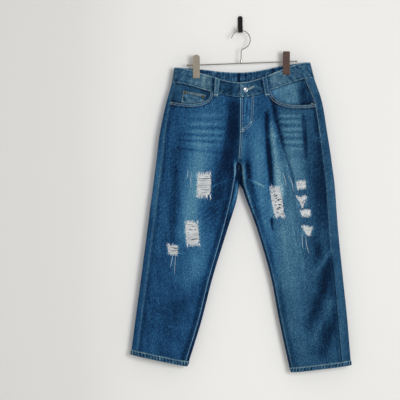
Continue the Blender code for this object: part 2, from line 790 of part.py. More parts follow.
def add_hems(parts):
    """A turned-up hem round each leg."""
    for side, label in ((RIGHT, "right"), (LEFT, "left")):
        turns = steps(-1.0, 1.0, HEM_COLUMNS + 1)[:-1]
        rows = [[cloth_point(side, down, turn) for turn in turns] for down in (HEM_START, HEM_END)]
        rows = moved(rows, HEM_PROUD, closed=True)
        cloth_wall(f"hem_{label}", rows, HEM_WALL, parts, "hem", closed=True)


def band_turns(side):
    """Turns across one side of the band, with points at the edges of the clip's flat."""
    even = steps(0.0, 1.0, BAND_COLUMNS)
    clip_xs = [CLIP_X[side] + away for away in (-CLIP_FLAT, 0.0, CLIP_FLAT)]
    edges = [turn_at_x(side, BAND_END / 2, x) for x in clip_xs]
    kept = [turn for turn in even if min(abs(turn - edge) for edge in edges) > TURN_APART]
    half = sorted(kept + edges)
    return [-turn for turn in reversed(half[1:])] + half


def add_waistband(parts):
    """One strip from the fly round the back, with its right end lapped under its left."""
    columns = [(LEFT, turn) for turn in band_turns(LEFT)]
    columns += [(RIGHT, turn) for turn in reversed(band_turns(RIGHT)[:-1])]
    downs = steps(0.0, BAND_END, 3)
    rows = []
    centre_x = section_at(RIGHT, 0.0).inner_x
    for down in downs:
        line = [cloth_point(side, down, turn) for side, turn in columns]
        for reach in steps(LAP_UNDER / 3, LAP_UNDER, 3):
            under = cloth_point(LEFT, down, -turn_at_x(LEFT, down, centre_x + reach))
            line.append(under + Vector((0.0, LAP_STEP, 0.0)))
        rows.append(line)
    normals = grid_normals(rows, closed=False)
    sunk = BAND_WALL + LAYER_GAP - LAP_STEP
    for row, line in zip(rows, normals):
        for j, normal in enumerate(line):
            ramp = 0.0
            if j >= len(columns) - LAP_COLUMNS:
                ramp = smoothstep((row[j].x - centre_x + LAP_RAMP) / (LAP_RAMP - LAP_RAMP_END))
            row[j] = row[j] + normal * (BAND_PROUD - sunk * ramp)
    cloth_wall("waistband", rows, BAND_WALL, parts, "denim_band")
    return rows


def add_belt_loops(parts, band_rows):
    """Five loops that bridge the band from its top edge to just below its seam."""
    for name, side, face, x, lean, below in LOOPS:
        rows = []
        for share in steps(0.0, 1.0, 6):
            down = (BAND_END + below) * share
            middle = x + lean * (share - 0.5)
            lift = LOOP_GAP + LOOP_WALL + LOOP_LIFT * math.sin(math.pi * share)
            if down > BAND_END:
                lift += LOOP_FOOT_LIFT
            line = []
            for beside in (-LOOP_WIDTH / 2, 0.0, LOOP_WIDTH / 2):
                line.append(loop_point(band_rows, side, face, down, middle + beside, lift))
            rows.append(line)
        cloth_wall(name, rows, LOOP_WALL, parts, "denim_band")


def loop_point(band_rows, side, face, down, x, lift):
    """A point that stands off the band's own facets at x, carried on below its seam."""
    if face == BACK and x < section_at(LEFT, down).inner_x:
        side = RIGHT
    on_band = min(max(down, LOOP_EDGE), BAND_END - LOOP_EDGE)
    smooth = cloth_point(side, on_band, face * turn_at_x(side, on_band, x))
    faceted, _ = point_on(band_rows, x, smooth.z, face)
    here = cloth_point(side, down, face * turn_at_x(side, down, x))
    return here + Vector((0.0, faceted.y - smooth.y + face * lift, 0.0))


def add_button(parts):
    """The fly's shank button, on the lapped end of the band."""
    turn = -turn_at_x(LEFT, BUTTON_DOWN, BUTTON_X)
    base, normal, _, _ = surface_frame(LEFT, BUTTON_DOWN, turn)
    base += normal * (BAND_PROUD + LAYER_GAP)
    add_stud("fly_button", base, normal, BUTTON_R, BUTTON_HEIGHT, parts, "button_metal")


# ---------------------------------------------------------------- hanger and wall hook


def tube(name, points, radius, collection, material_name):
    """A round wire along points, with filled ends."""
    curve = bpy.data.curves.new(name, "CURVE")
    curve.dimensions = "3D"
    curve.bevel_depth = radius
    curve.bevel_resolution = 2
    curve.use_fill_caps = True
    spline = curve.splines.new("POLY")
    spline.points.add(len(points) - 1)
    for target, point in zip(spline.points, points):
        target.co = (*point, 1.0)
    item = bpy.data.objects.new(name, curve)
    collection.objects.link(item)
    curve.materials.append(new_material(material_name))
    return item


def rod_point(x):
    """The rod's axis at x."""
    share = (x - ROD_LEFT.x) / (ROD_RIGHT.x - ROD_LEFT.x)
    return ROD_LEFT.lerp(ROD_RIGHT, share)


def hook_points():
    """The hook's route: round the wall hook, then bent down into a straight stem."""
    reach = HOOK_R + STEM_BEND_R
    last = -math.acos((STEM_X - HOOK_CENTRE.x + STEM_BEND_R) / reach)
    points = []
    for angle in steps(HOOK_TIP_ANGLE, last, 30):
        points.append(HOOK_CENTRE + Vector((math.cos(angle), 0.0, math.sin(angle))) * HOOK_R)
    bend_centre = HOOK_CENTRE + Vector((math.cos(last), 0.0, math.sin(last))) * reach
    for angle in steps(last + math.pi, math.pi, 6)[1:]:
        points.append(bend_centre + Vector((math.cos(angle), 0.0, math.sin(angle))) * STEM_BEND_R)
    points.append(Vector((STEM_X, HANG_Y, rod_point(STEM_X).z + ROD_R + 0.001)))
    return points


def turned_ring(name, centre, axis, radii, length, parts, material_name):
    """A plain hollow cylinder about an axis, between an inner and an outer radius."""
    bm = bmesh.new()
    inner_r, outer_r = radii
    half = length / 2
    corners = ((inner_r, half), (outer_r, half), (outer_r, -half), (inner_r, -half))
    verts = [bm.verts.new((x, 0.0, z)) for x, z in corners]
    for i in range(4):
        bm.edges.new((verts[i], verts[(i + 1) % 4]))
    item = add_object(name, mesh_from(name, bm), parts, material_name)
    add_screw(item)
    item.location = centre
    item.rotation_mode = "QUATERNION"
    item.rotation_quaternion = axis.to_track_quat("Z", "Y")
    return item


def add_hanger(parts):
    """The wire hook, its ferrule, the rod with its end caps and the two clips."""
    tube("hanger_hook", hook_points(), WIRE_R, parts, "hanger_chrome")
    foot = rod_point(STEM_X).z + ROD_R + SEAM_GAP
    middle = Vector((STEM_X, HANG_Y, foot + FERRULE_LENGTH / 2))
    up = Vector((0.0, 0.0, 1.0))
    radii = (WIRE_R + SEAM_GAP, FERRULE_R)
    turned_ring("hook_ferrule", middle, up, radii, FERRULE_LENGTH, parts, "hanger_chrome")
    tube("hanger_rod", [ROD_LEFT, ROD_RIGHT], ROD_R, parts, "hanger_chrome")
    along = (ROD_RIGHT - ROD_LEFT).normalized()
    for label, end, away, colour in (
        ("right", ROD_LEFT, -along, "rivet_metal"),
        ("left", ROD_RIGHT, along, "cap_grey"),
    ):
        first = end + away * SEAM_GAP
        tube(f"rod_cap_{label}", [first, first + away * CAP_LENGTH], CAP_R, parts, colour)
    radii = (ROD_R + SEAM_GAP, SLEEVE_R)
    for side, label, colour, corner in (
        (RIGHT, "right", "clip_taupe", 0.0085),
        (LEFT, "left", "clip_brown", 0.0030),
    ):
        pivot = rod_point(CLIP_X[side])
        name = f"clip_{label}_sleeve"
        turned_ring(name, pivot, along, radii, SLEEVE_LENGTH, parts, "hanger_chrome")
        for face, place in ((FRONT, "front"), (BACK, "back")):
            add_clip_plate(f"clip_{label}_{place}", pivot, face, corner, parts, colour)


def add_clip_plate(name, pivot, face, corner, parts, colour):
    """One plate of a clip: flat on the band, spread above the rod, round at its top."""
    top, bottom = CLIP_ABOVE_ROD, CLIP_ABOVE_ROD - CLIP_HEIGHT
    heights = [top - corner * (1.0 - math.cos(angle)) for angle in steps(0.0, math.pi / 2, 6)]
    heights += [CLIP_BEND_TOP, CLIP_BEND_FOOT, 0.0, bottom + CLIP_LIP_HEIGHT, bottom]
    held = PINCHED_DEPTH + BAND_PROUD + SEAM_GAP + CLIP_WALL
    rows = []
    for height in heights:
        rounding = max(height - (top - corner), 0.0)
        half = CLIP_WIDTH / 2 - corner + math.sqrt(max(corner * corner - rounding * rounding, 0.0))
        half = max(half, CLIP_WIDTH / 2 - corner + CLIP_LIP)
        spread = held + (CLIP_SPREAD - held) * smoothstep(height / top)
        lip = CLIP_LIP if height == bottom else 0.0
        y = pivot.y + face * (spread + lip)
        rows.append([Vector((pivot.x + x, y, pivot.z + height)) for x in (-half, half)])
    cloth_wall(name, rows, CLIP_WALL, parts, colour)


def rounded_plate_points(width, top, foot, top_r, foot_r):
    """The outline of an upright plate, its corners rounded more at its top."""
    points = []
    for x_sign, z_sign, radius, first in (
        (1, 1, top_r, 0.0),
        (-1, 1, top_r, 0.5),
        (-1, -1, foot_r, 1.0),
        (1, -1, foot_r, 1.5),
    ):
        cx = x_sign * (width / 2 - radius)
        cz = top - radius if z_sign > 0 else foot + radius
        for angle in steps(first * math.pi, (first + 0.5) * math.pi, 6):
            points.append((cx + radius * math.cos(angle), cz + radius * math.sin(angle)))
    return points


def add_wall_hook(parts, cutters):
    """A flat plate on the wall with an arm that turns up at its tip, as one piece."""
    outline = rounded_plate_points(PLATE_WIDTH, PLATE_TOP, PLATE_FOOT, 0.0066, 0.0025)
    plate = prism("wall_hook", outline, -PLATE_WALL, 0.0, parts)
    plate.hide_render = False
    plate.display_type = "TEXTURED"
    plate.data.materials.append(new_material("hook_black"))
    arm_half = PLATE_WIDTH / 2 - 0.0004
    widest = arm_half + abs(HOOK_CENTRE.x)
    arm_top = HOOK_CENTRE.z + math.sqrt((HOOK_R - WIRE_R) ** 2 - widest**2) - SEAM_GAP
    tip_back = HANG_Y - WIRE_R - TIP_GAP
    root = -PLATE_WALL / 2
    outline = (
        (root, ARM_ROOT_FOOT),
        (ARM_SLOPE_END_Y, ARM_FOOT),
        (tip_back - TIP_WALL, ARM_FOOT),
        (tip_back - TIP_WALL, TIP_TOP),
        (tip_back, TIP_TOP),
        (tip_back, arm_top),
        (ARM_SLOPE_END_Y, arm_top),
        (root, ARM_ROOT_TOP),
    )
    arm = prism("wall_hook_arm", outline, -arm_half, arm_half, cutters)
    arm.data.transform(Matrix(((0, 1, 0, 0), (1, 0, 0, 0), (0, 0, 1, 0), (0, 0, 0, 1))))
    arm.data.flip_normals()
    cut(plate, arm, "UNION")


def main():
    """Builds every piece."""
    clear_scene()
    parts = new_collection(OBJECT_NAME)
    cutters = new_collection("cutters")
    add_fronts(parts, cutters)
    add_backs(parts, cutters)
    add_hems(parts)
    band_rows = add_waistband(parts)
    add_belt_loops(parts, band_rows)
    add_button(parts)
    add_hanger(parts)
    add_wall_hook(parts, cutters)


main()
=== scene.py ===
"""Studio scene of ripped jeans that hang by two clips from a wire hanger on a wall hook.

Metres, +X to the wearer's left, +Y into the wall, +Z up. The cloth pieces stand in for the
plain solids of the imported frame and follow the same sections.
"""

import logging
import math
import random
from dataclasses import dataclass, field
from enum import IntEnum
from typing import NamedTuple, Optional, Sequence

import bmesh
import bpy
import numpy as np
from mathutils import Matrix, Vector
from mathutils.bvhtree import BVHTree


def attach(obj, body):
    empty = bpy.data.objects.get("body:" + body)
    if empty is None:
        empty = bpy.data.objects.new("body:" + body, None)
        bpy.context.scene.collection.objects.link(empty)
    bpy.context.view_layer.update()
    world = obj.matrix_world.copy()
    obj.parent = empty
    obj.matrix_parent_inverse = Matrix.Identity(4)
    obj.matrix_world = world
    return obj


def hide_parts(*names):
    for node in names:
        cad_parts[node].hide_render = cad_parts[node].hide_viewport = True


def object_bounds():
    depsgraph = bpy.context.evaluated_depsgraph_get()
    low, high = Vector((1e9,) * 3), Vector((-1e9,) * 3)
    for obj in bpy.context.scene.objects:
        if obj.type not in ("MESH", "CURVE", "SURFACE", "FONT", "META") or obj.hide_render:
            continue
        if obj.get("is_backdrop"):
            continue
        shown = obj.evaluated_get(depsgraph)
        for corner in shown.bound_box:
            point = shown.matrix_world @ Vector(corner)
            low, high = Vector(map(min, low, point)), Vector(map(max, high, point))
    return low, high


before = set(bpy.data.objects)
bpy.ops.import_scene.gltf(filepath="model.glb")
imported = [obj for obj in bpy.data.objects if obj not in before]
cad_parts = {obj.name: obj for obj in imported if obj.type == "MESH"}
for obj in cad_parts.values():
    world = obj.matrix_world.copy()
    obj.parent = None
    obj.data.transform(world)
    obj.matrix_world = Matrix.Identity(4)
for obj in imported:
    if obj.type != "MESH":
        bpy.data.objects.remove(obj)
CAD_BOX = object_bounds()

LOG = logging.getLogger("ripped_jeans")
BODY = "root"

Colour = tuple[float, float, float]
Steps = tuple[int, int, int]
Stops = Sequence[tuple[float, Colour]]
Outline = list[tuple[float, float]]
Values = np.ndarray
Socket = bpy.types.NodeSocket
Tree = bpy.types.NodeTree
Paint = bpy.types.Material
Item = bpy.types.Object


class Side(IntEnum):
    """The wearer's right and left."""

    RIGHT = -1
    LEFT = 1


class Face(IntEnum):
    """The two faces of the hanging garment."""

    FRONT = -1
    BACK = 1


LABEL = {Side.RIGHT: "right", Side.LEFT: "left"}

# Levels, as distances down from the waist edge
BAND_END = 0.045
YOKE_SIDE_END = 0.080
YOKE_CENTRE_END = 0.112
CROTCH = 0.272
HEM_START = 0.853
HEM_END = 0.868

DENIM_WALL = 0.0016
BAND_WALL = 0.0030
HEM_WALL = 0.0026
POCKET_WALL = 0.0013
HANG_Y = -0.025
CROTCH_Z = -0.409


def srgb(*steps: int) -> Colour:
    """Turns red, green and blue in 0-255 steps into linear values."""
    values = (step / 255 for step in steps)
    return tuple(v / 12.92 if v <= 0.04045 else ((v + 0.055) / 1.055) ** 2.4 for v in values)


def smooth(value: Values) -> Values:
    """0 below 0, 1 above 1 and a smooth rise between."""
    value = np.clip(value, 0.0, 1.0)
    return value * value * (3.0 - 2.0 * value)


def quarter(value: Values) -> Values:
    """A quarter circle's height at a share of its width, and 1 past it."""
    return np.sqrt(1.0 - (1.0 - np.clip(value, 0.0, 1.0)) ** 2)


def bell(away: Values, width: float, power: float = 2) -> Values:
    """1 where away is 0, falling off to both sides over a width."""
    return np.exp(-((away / width) ** power))


def shares(count: int) -> Values:
    """Shares from 0 to 1 down the rows of a sheet, as a column."""
    return np.linspace(0.0, 1.0, count)[:, None]


def spread(first: Values, last: Values, count: int) -> Values:
    """Rows of evenly spread values, each row from its own first to its own last."""
    return first[:, None] + (last - first)[:, None] * shares(count).T


def dye(*stops: tuple[float, int, int, int]) -> Stops:
    """A ramp from dark to bleached, from places on it and colours in 0-255 steps."""
    return tuple((at, srgb(*steps)) for at, *steps in stops)


# --- form of the jeans


class Section(NamedTuple):
    """The columns of SECTIONS: one ring of one side, from its side fold to its centre or inseam."""

    down: float
    outer_x: float
    outer_z: float
    inner_x: float
    front_z: float
    back_z: float
    front_depth: float
    back_depth: float
    mid_y: float
    joined: float
    side_inset: float
    inseam_inset: float


class Mark(NamedTuple):
    """A soft line on one face, with how wide, how strong and how sharply edged it is.

    As a fold its strength is its depth in metres, and in the colour it changes the dye's level, for wear and
    for painted shade and highlights.
    """

    face: Face
    top_x: float
    top_z: float
    end_x: float
    end_z: float
    half_width: float
    strength: float
    sharpness: float = 2.0


def marks(face: Face, rows: Sequence[tuple[float, ...]]) -> tuple[Mark, ...]:
    """Marks on one face, from rows with the columns of Mark after its face."""
    return tuple(Mark(face, *row) for row in rows)


SECTIONS = {
    Side.RIGHT: (
        (0.000, -0.1990, -0.1290, -0.0024, -0.1750, -0.1430, 0.019, 0.009, -0.025, 1.00, 0.0100, 0.000),
        (0.045, -0.2070, -0.1750, -0.0024, -0.2190, -0.1930, 0.022, 0.011, -0.025, 1.00, 0.0100, 0.000),
        (0.110, -0.2250, -0.2400, -0.0024, -0.2750, -0.2540, 0.026, 0.014, -0.026, 1.00, 0.0110, 0.000),
        (0.196, -0.2430, -0.3250, -0.0034, -0.3440, -0.3350, 0.028, 0.016, -0.027, 0.75, 0.0140, 0.000),
        (0.272, -0.2525, -0.4000, -0.0078, -0.4110, -0.4110, 0.026, 0.017, -0.027, 0.00, 0.0160, 0.000),
        (0.288, -0.2543, -0.4160, -0.0132, -0.4240, -0.4240, 0.025, 0.016, -0.027, 0.00, 0.0160, 0.001),
        (0.320, -0.2586, -0.4480, -0.0110, -0.4500, -0.4500, 0.025, 0.016, -0.027, 0.00, 0.0160, 0.004),
        (0.363, -0.2640, -0.4900, -0.0066, -0.4900, -0.4900, 0.024, 0.016, -0.026, 0.00, 0.0160, 0.015),
        (0.395, -0.2682, -0.5215, -0.0105, -0.5225, -0.5225, 0.023, 0.016, -0.026, 0.00, 0.0160, 0.017),
        (0.430, -0.2728, -0.5560, -0.0206, -0.5590, -0.5590, 0.023, 0.015, -0.026, 0.00, 0.0160, 0.016),
        (0.485, -0.2795, -0.6100, -0.0388, -0.6150, -0.6150, 0.022, 0.015, -0.026, 0.00, 0.0160, 0.012),
        (0.627, -0.2980, -0.7500, -0.0842, -0.7620, -0.7620, 0.020, 0.014, -0.026, 0.00, 0.0160, 0.009),
        (0.754, -0.3150, -0.8750, -0.1184, -0.8950, -0.8950, 0.018, 0.013, -0.025, 0.00, 0.0160, 0.008),
        (0.853, -0.3285, -0.9770, -0.1550, -1.0130, -1.0130, 0.017, 0.012, -0.025, 0.00, 0.0160, 0.008),
        (0.868, -0.3315, -0.9920, -0.1605, -1.0285, -1.0285, 0.017, 0.012, -0.025, 0.00, 0.0160, 0.008),
    ),
    Side.LEFT: (
        (0.000, 0.2095, -0.1134, -0.0024, -0.1750, -0.1430, 0.019, 0.009, -0.025, 1.00, 0.0260, 0.000),
        (0.045, 0.2222, -0.1610, -0.0024, -0.2190, -0.1930, 0.022, 0.011, -0.025, 1.00, 0.0265, 0.000),
        (0.110, 0.2450, -0.2300, -0.0024, -0.2750, -0.2540, 0.026, 0.014, -0.026, 1.00, 0.0215, 0.000),
        (0.196, 0.2600, -0.3180, -0.0034, -0.3440, -0.3350, 0.028, 0.016, -0.027, 0.75, 0.0210, 0.000),
        (0.272, 0.2725, -0.3970, -0.0078, -0.4110, -0.4110, 0.026, 0.017, -0.027, 0.00, 0.0230, 0.000),
        (0.288, 0.2745, -0.4130, 0.0030, -0.4240, -0.4240, 0.025, 0.016, -0.027, 0.00, 0.0232, 0.001),
        (0.320, 0.2790, -0.4450, 0.0026, -0.4500, -0.4500, 0.025, 0.016, -0.027, 0.00, 0.0235, 0.003),
        (0.363, 0.2845, -0.4900, 0.0052, -0.4900, -0.4900, 0.024, 0.016, -0.026, 0.00, 0.0240, 0.007),
        (0.485, 0.2935, -0.6120, 0.0490, -0.6120, -0.6120, 0.022, 0.015, -0.026, 0.00, 0.0250, 0.006),
        (0.627, 0.3080, -0.7560, 0.0915, -0.7600, -0.7600, 0.020, 0.014, -0.026, 0.00, 0.0265, 0.006),
        (0.754, 0.3215, -0.8840, 0.1170, -0.8920, -0.8920, 0.018, 0.013, -0.025, 0.00, 0.0285, 0.006),
        (0.853, 0.3320, -1.0095, 0.1475, -1.0315, -1.0270, 0.017, 0.012, -0.025, 0.00, 0.0270, 0.006),
        (0.868, 0.3340, -1.0245, 0.1535, -1.0465, -1.0420, 0.017, 0.012, -0.025, 0.00, 0.0260, 0.006),
    ),
}

# Troughs, and ridges where the depth is negative
FOLDS = marks(
    Face.FRONT,
    (
        (0.076, -0.255, 0.0935, -0.500, 0.0095, 0.0110), (0.0925, -0.565, 0.0980, -0.640, 0.0060, 0.0040),
        (0.093, -0.300, 0.111, -0.520, 0.0090, -0.0030), (0.0965, -0.225, 0.1220, -0.350, 0.0080, 0.0060),
        (0.1180, -0.330, 0.1600, -0.475, 0.0075, 0.0045), (-0.020, -0.235, -0.034, -0.500, 0.0200, 0.0085),
        (-0.056, -0.240, -0.078, -0.420, 0.0160, -0.0030), (0.1875, -0.270, 0.1965, -0.410, 0.0100, 0.0045),
        (0.215, -0.300, 0.232, -0.560, 0.0140, 0.0030), (0.049, -0.222, 0.052, -0.335, 0.0045, 0.0016),
        (0.063, -0.222, 0.068, -0.325, 0.0045, 0.0016), (-0.045, -0.224, -0.050, -0.285, 0.0040, 0.0010),
        (-0.066, -0.222, -0.073, -0.270, 0.0040, 0.0009), (0.272, -0.760, 0.240, -0.950, 0.0200, 0.0045),
        (0.252, -0.715, 0.192, -0.930, 0.0180, 0.0045), (0.283, -0.830, 0.230, -0.965, 0.0100, -0.0020),
        (0.150, -0.690, 0.170, -0.860, 0.0240, -0.0020), (-0.195, -0.290, -0.214, -0.520, 0.0170, 0.0040),
        (-0.215, -0.560, -0.250, -0.780, 0.0240, 0.0035), (-0.160, -0.700, -0.215, -0.820, 0.0200, 0.0035),
        (-0.130, -0.760, -0.200, -0.930, 0.0240, -0.0020), (-0.048, -0.470, -0.085, -0.500, 0.0060, 0.0012),
        (0.022, -0.470, 0.072, -0.505, 0.0060, 0.0014),
    ),
) + marks(
    Face.BACK,
    (
        (-0.060, -0.330, -0.105, -0.560, 0.0180, 0.0045), (0.070, -0.340, 0.120, -0.580, 0.0180, 0.0045),
        (-0.020, -0.290, -0.026, -0.470, 0.0160, 0.0040), (0.022, -0.300, 0.040, -0.500, 0.0140, 0.0035),
        (-0.190, -0.430, -0.215, -0.600, 0.0160, 0.0035), (0.200, -0.440, 0.225, -0.640, 0.0160, 0.0035),
        (-0.110, -0.600, -0.170, -0.660, 0.0110, 0.0028), (-0.130, -0.655, -0.215, -0.690, 0.0110, 0.0026),
        (0.110, -0.610, 0.190, -0.660, 0.0110, 0.0028), (0.125, -0.675, 0.220, -0.700, 0.0110, 0.0026),
        (-0.170, -0.640, -0.200, -0.820, 0.0220, 0.0032), (0.190, -0.650, 0.205, -0.840, 0.0220, 0.0032),
    ),
)


def mark_field(lines: Sequence[Mark], face: Face, x: Values, z: Values, fullness: float = 1.0) -> Values:
    """Adds up soft lines at points of one face.

    Args:
        lines: The lines, of which only those on the face count.
        face: The face that the points are on.
        x: Across, in metres.
        z: Up, in metres.
        fullness: 1 for lines that swell from their ends, less for more even ones.

    Returns:
        The summed strength at each point.
    """
    total = np.zeros_like(x)
    for mark in lines:
        if mark.face != face:
            continue
        line_x, line_z = mark.end_x - mark.top_x, mark.end_z - mark.top_z
        share = ((x - mark.top_x) * line_x + (z - mark.top_z) * line_z) / (line_x**2 + line_z**2)
        share = np.clip(share, 0.0, 1.0)
        away = np.hypot(x - mark.top_x - line_x * share, z - mark.top_z - line_z * share)
        along = np.sin(np.pi * (0.1 + 0.8 * share)) ** fullness
        total += mark.strength * bell(away, mark.half_width, mark.sharpness) * along
    return total


def yoke_seam(turns: Values) -> Values:
    """How far down the yokes' seam is at turns: a shallow V, deepest at the centre."""
    share = (1.0 - np.cos(np.pi * np.clip(turns, 0.0, 1.0))) / 2
    return YOKE_SIDE_END + (YOKE_CENTRE_END - YOKE_SIDE_END) * share


def ripple(x: Values, z: Values, pitch: float, seed: int) -> Values:
    """An uneven field of crossing waves, about from -1 to 1.

    Args:
        x: First coordinate, in metres.
        z: Second coordinate, in metres.
        pitch: The usual distance between crests.
        seed: Which of the fields to take.

    Returns:
        The height at each point.
    """
    draw = random.Random(seed)
    total = np.zeros_like(x)
    for _ in range(7):
        angle, turn = draw.uniform(0, math.tau), draw.uniform(0, math.tau)
        step = math.tau / (pitch * draw.uniform(0.7, 1.6))
        total += np.sin((x * math.cos(angle) + z * math.sin(angle)) * step + turn)
    return total / 3.2


@dataclass(frozen=True)
class JeansForm:
    """The outer face of the hanging cloth, worked out from the sections."""

    fold_share: float = 0.36
    pinched_depth: float = 0.0034
    clip_flat: float = 0.0165
    clip_reach: float = 0.058
    clip_fade_top: float = -0.158
    clip_fade_end: float = -0.300
    clip_x: tuple[float, float] = (-0.1328, 0.1382)
    lap_step: float = 0.0024
    lap_fade: float = 0.30
    ripple_height: float = 0.00035
    seat_fill: float = 0.0112

    def section(self, side: Side, down: Values) -> dict[str, Values]:
        """Reads the table at distances down, on a smooth curve with a corner at the crotch.

        Args:
            side: Whose leg.
            down: Distances down from the waist edge.

        Returns:
            Each column's values by its name.
        """
        table = np.array(SECTIONS[side])
        levels = table[:, 0]
        down = np.asarray(down, dtype=float)
        index = np.clip(np.searchsorted(levels, down, side="right") - 1, 0, len(levels) - 2)
        low, high = table[index], table[index + 1]
        is_corner = np.isclose(levels, CROTCH)[:, None]
        before = np.where(is_corner[index], low, table[np.maximum(index - 1, 0)])
        after = np.where(is_corner[index + 1], high, table[np.minimum(index + 2, len(levels) - 1)])
        span = (high - low)[..., :1]
        t = (down[..., None] - low[..., :1]) / span
        rise_low = (high - before) / (high - before)[..., :1] * span
        rise_high = (after - low) / (after - low)[..., :1] * span
        value = (2 * t**3 - 3 * t**2 + 1) * low + (t**3 - 2 * t**2 + t) * rise_low
        value += (3 * t**2 - 2 * t**3) * high + (t**3 - t**2) * rise_high
        row = {name: value[..., i] for i, name in enumerate(Section._fields)}
        row["joined"] = np.where(down < CROTCH, np.clip(row["joined"], 0.0, 1.0), 0.0)
        return row

    def pinch(self, x: Values, z: Values) -> Values:
        """1 where a clip holds both layers together, fading to 0 round it and below it.

        Args:
            x: Across, in metres.
            z: Up, in metres.

        Returns:
            The clips' hold at each point.
        """
        across = np.zeros_like(x)
        for clip_x in self.clip_x:
            away = (np.abs(x - clip_x) - self.clip_flat) / (self.clip_reach - self.clip_flat)
            across = np.maximum(across, 1.0 - smooth(away))
        below = (self.clip_fade_top - z) / (self.clip_fade_top - self.clip_fade_end)
        return across * (1.0 - smooth(below))

    def points(self, side: Side, down: Values, turn: Values) -> Values:
        """Points of the outer face.

        Args:
            side: Whose leg.
            down: Distances down from the waist edge.
            turn: From -1 at the front's centre or inseam, through 0 at the side fold, to 1 at
                the back's; past 1 it comes round to the front again.

        Returns:
            An array whose last axis holds X, Y and Z.
        """
        down, turn = np.broadcast_arrays(np.asarray(down, float), np.asarray(turn, float))
        turn = np.where(turn > 1.0, turn - 2.0, turn)
        row = self.section(side, down)
        front = turn < 0
        face = np.where(front, -1.0, 1.0)
        across = (1.0 - np.cos(np.pi * np.abs(turn))) / 2
        x = row["outer_x"] + (row["inner_x"] - row["outer_x"]) * across
        centre_z = np.where(front, row["front_z"], row["back_z"])
        sag = across + (smooth(across) - across) * row["joined"]
        z = row["outer_z"] + (centre_z - row["outer_z"]) * sag
        rounding = quarter(across / self.fold_share)
        closing = quarter((1.0 - across) / self.fold_share)
        rounding = rounding * (row["joined"] + (1.0 - row["joined"]) * closing)
        depth = np.where(front, row["front_depth"], row["back_depth"]) * rounding
        depth = depth + (self.pinched_depth - depth) * self.pinch(x, z)
        seat = smooth((across - 0.90) / 0.08) * (1.0 - smooth((across - 0.985) / 0.015))
        seat = seat * smooth((CROTCH_Z - z) / 0.005) * (1.0 - smooth((CROTCH_Z - 0.056 - z) / 0.050))
        x = x - side * self.seat_fill * seat * ~front
        folds = np.where(front, mark_field(FOLDS, Face.FRONT, x, z), mark_field(FOLDS, Face.BACK, x, z))
        folds = folds + ripple(x, z, 0.022, 3) * self.ripple_height
        depth = depth - folds * rounding
        if side == Side.LEFT:
            lap = smooth((across - 1.0 + self.lap_fade) / self.lap_fade)
            depth = depth + self.lap_step * row["joined"] * lap * front
        return np.stack([x, row["mid_y"] + face * depth, z], axis=-1)

    def turn_at_inset(self, side: Side, down: Values, inset: Values) -> Values:
        """The turn, without its sign, of points an inset away from the side fold.

        Args:
            side: Whose leg.
            down: Distances down.
            inset: Distances in from the side fold.

        Returns:
            The turns.
        """
        row = self.section(side, down)
        share = np.clip(inset / np.abs(row["outer_x"] - row["inner_x"]), 0.0, 1.0)
        return np.arccos(1.0 - 2.0 * share) / np.pi

    def turn_at_inner(self, side: Side, down: Values, inset: Values) -> Values:
        """The turn, without its sign, of points an inset away from the centre or inseam."""
        row = self.section(side, down)
        return self.turn_at_inset(side, down, np.abs(row["outer_x"] - row["inner_x"]) - inset)

    def turn_at_x(self, side: Side, down: Values, x: Values) -> Values:
        """The turn, without its sign, of points at x."""
        return self.turn_at_inset(side, down, np.abs(x - self.section(side, down)["outer_x"]))


FORM = JeansForm()
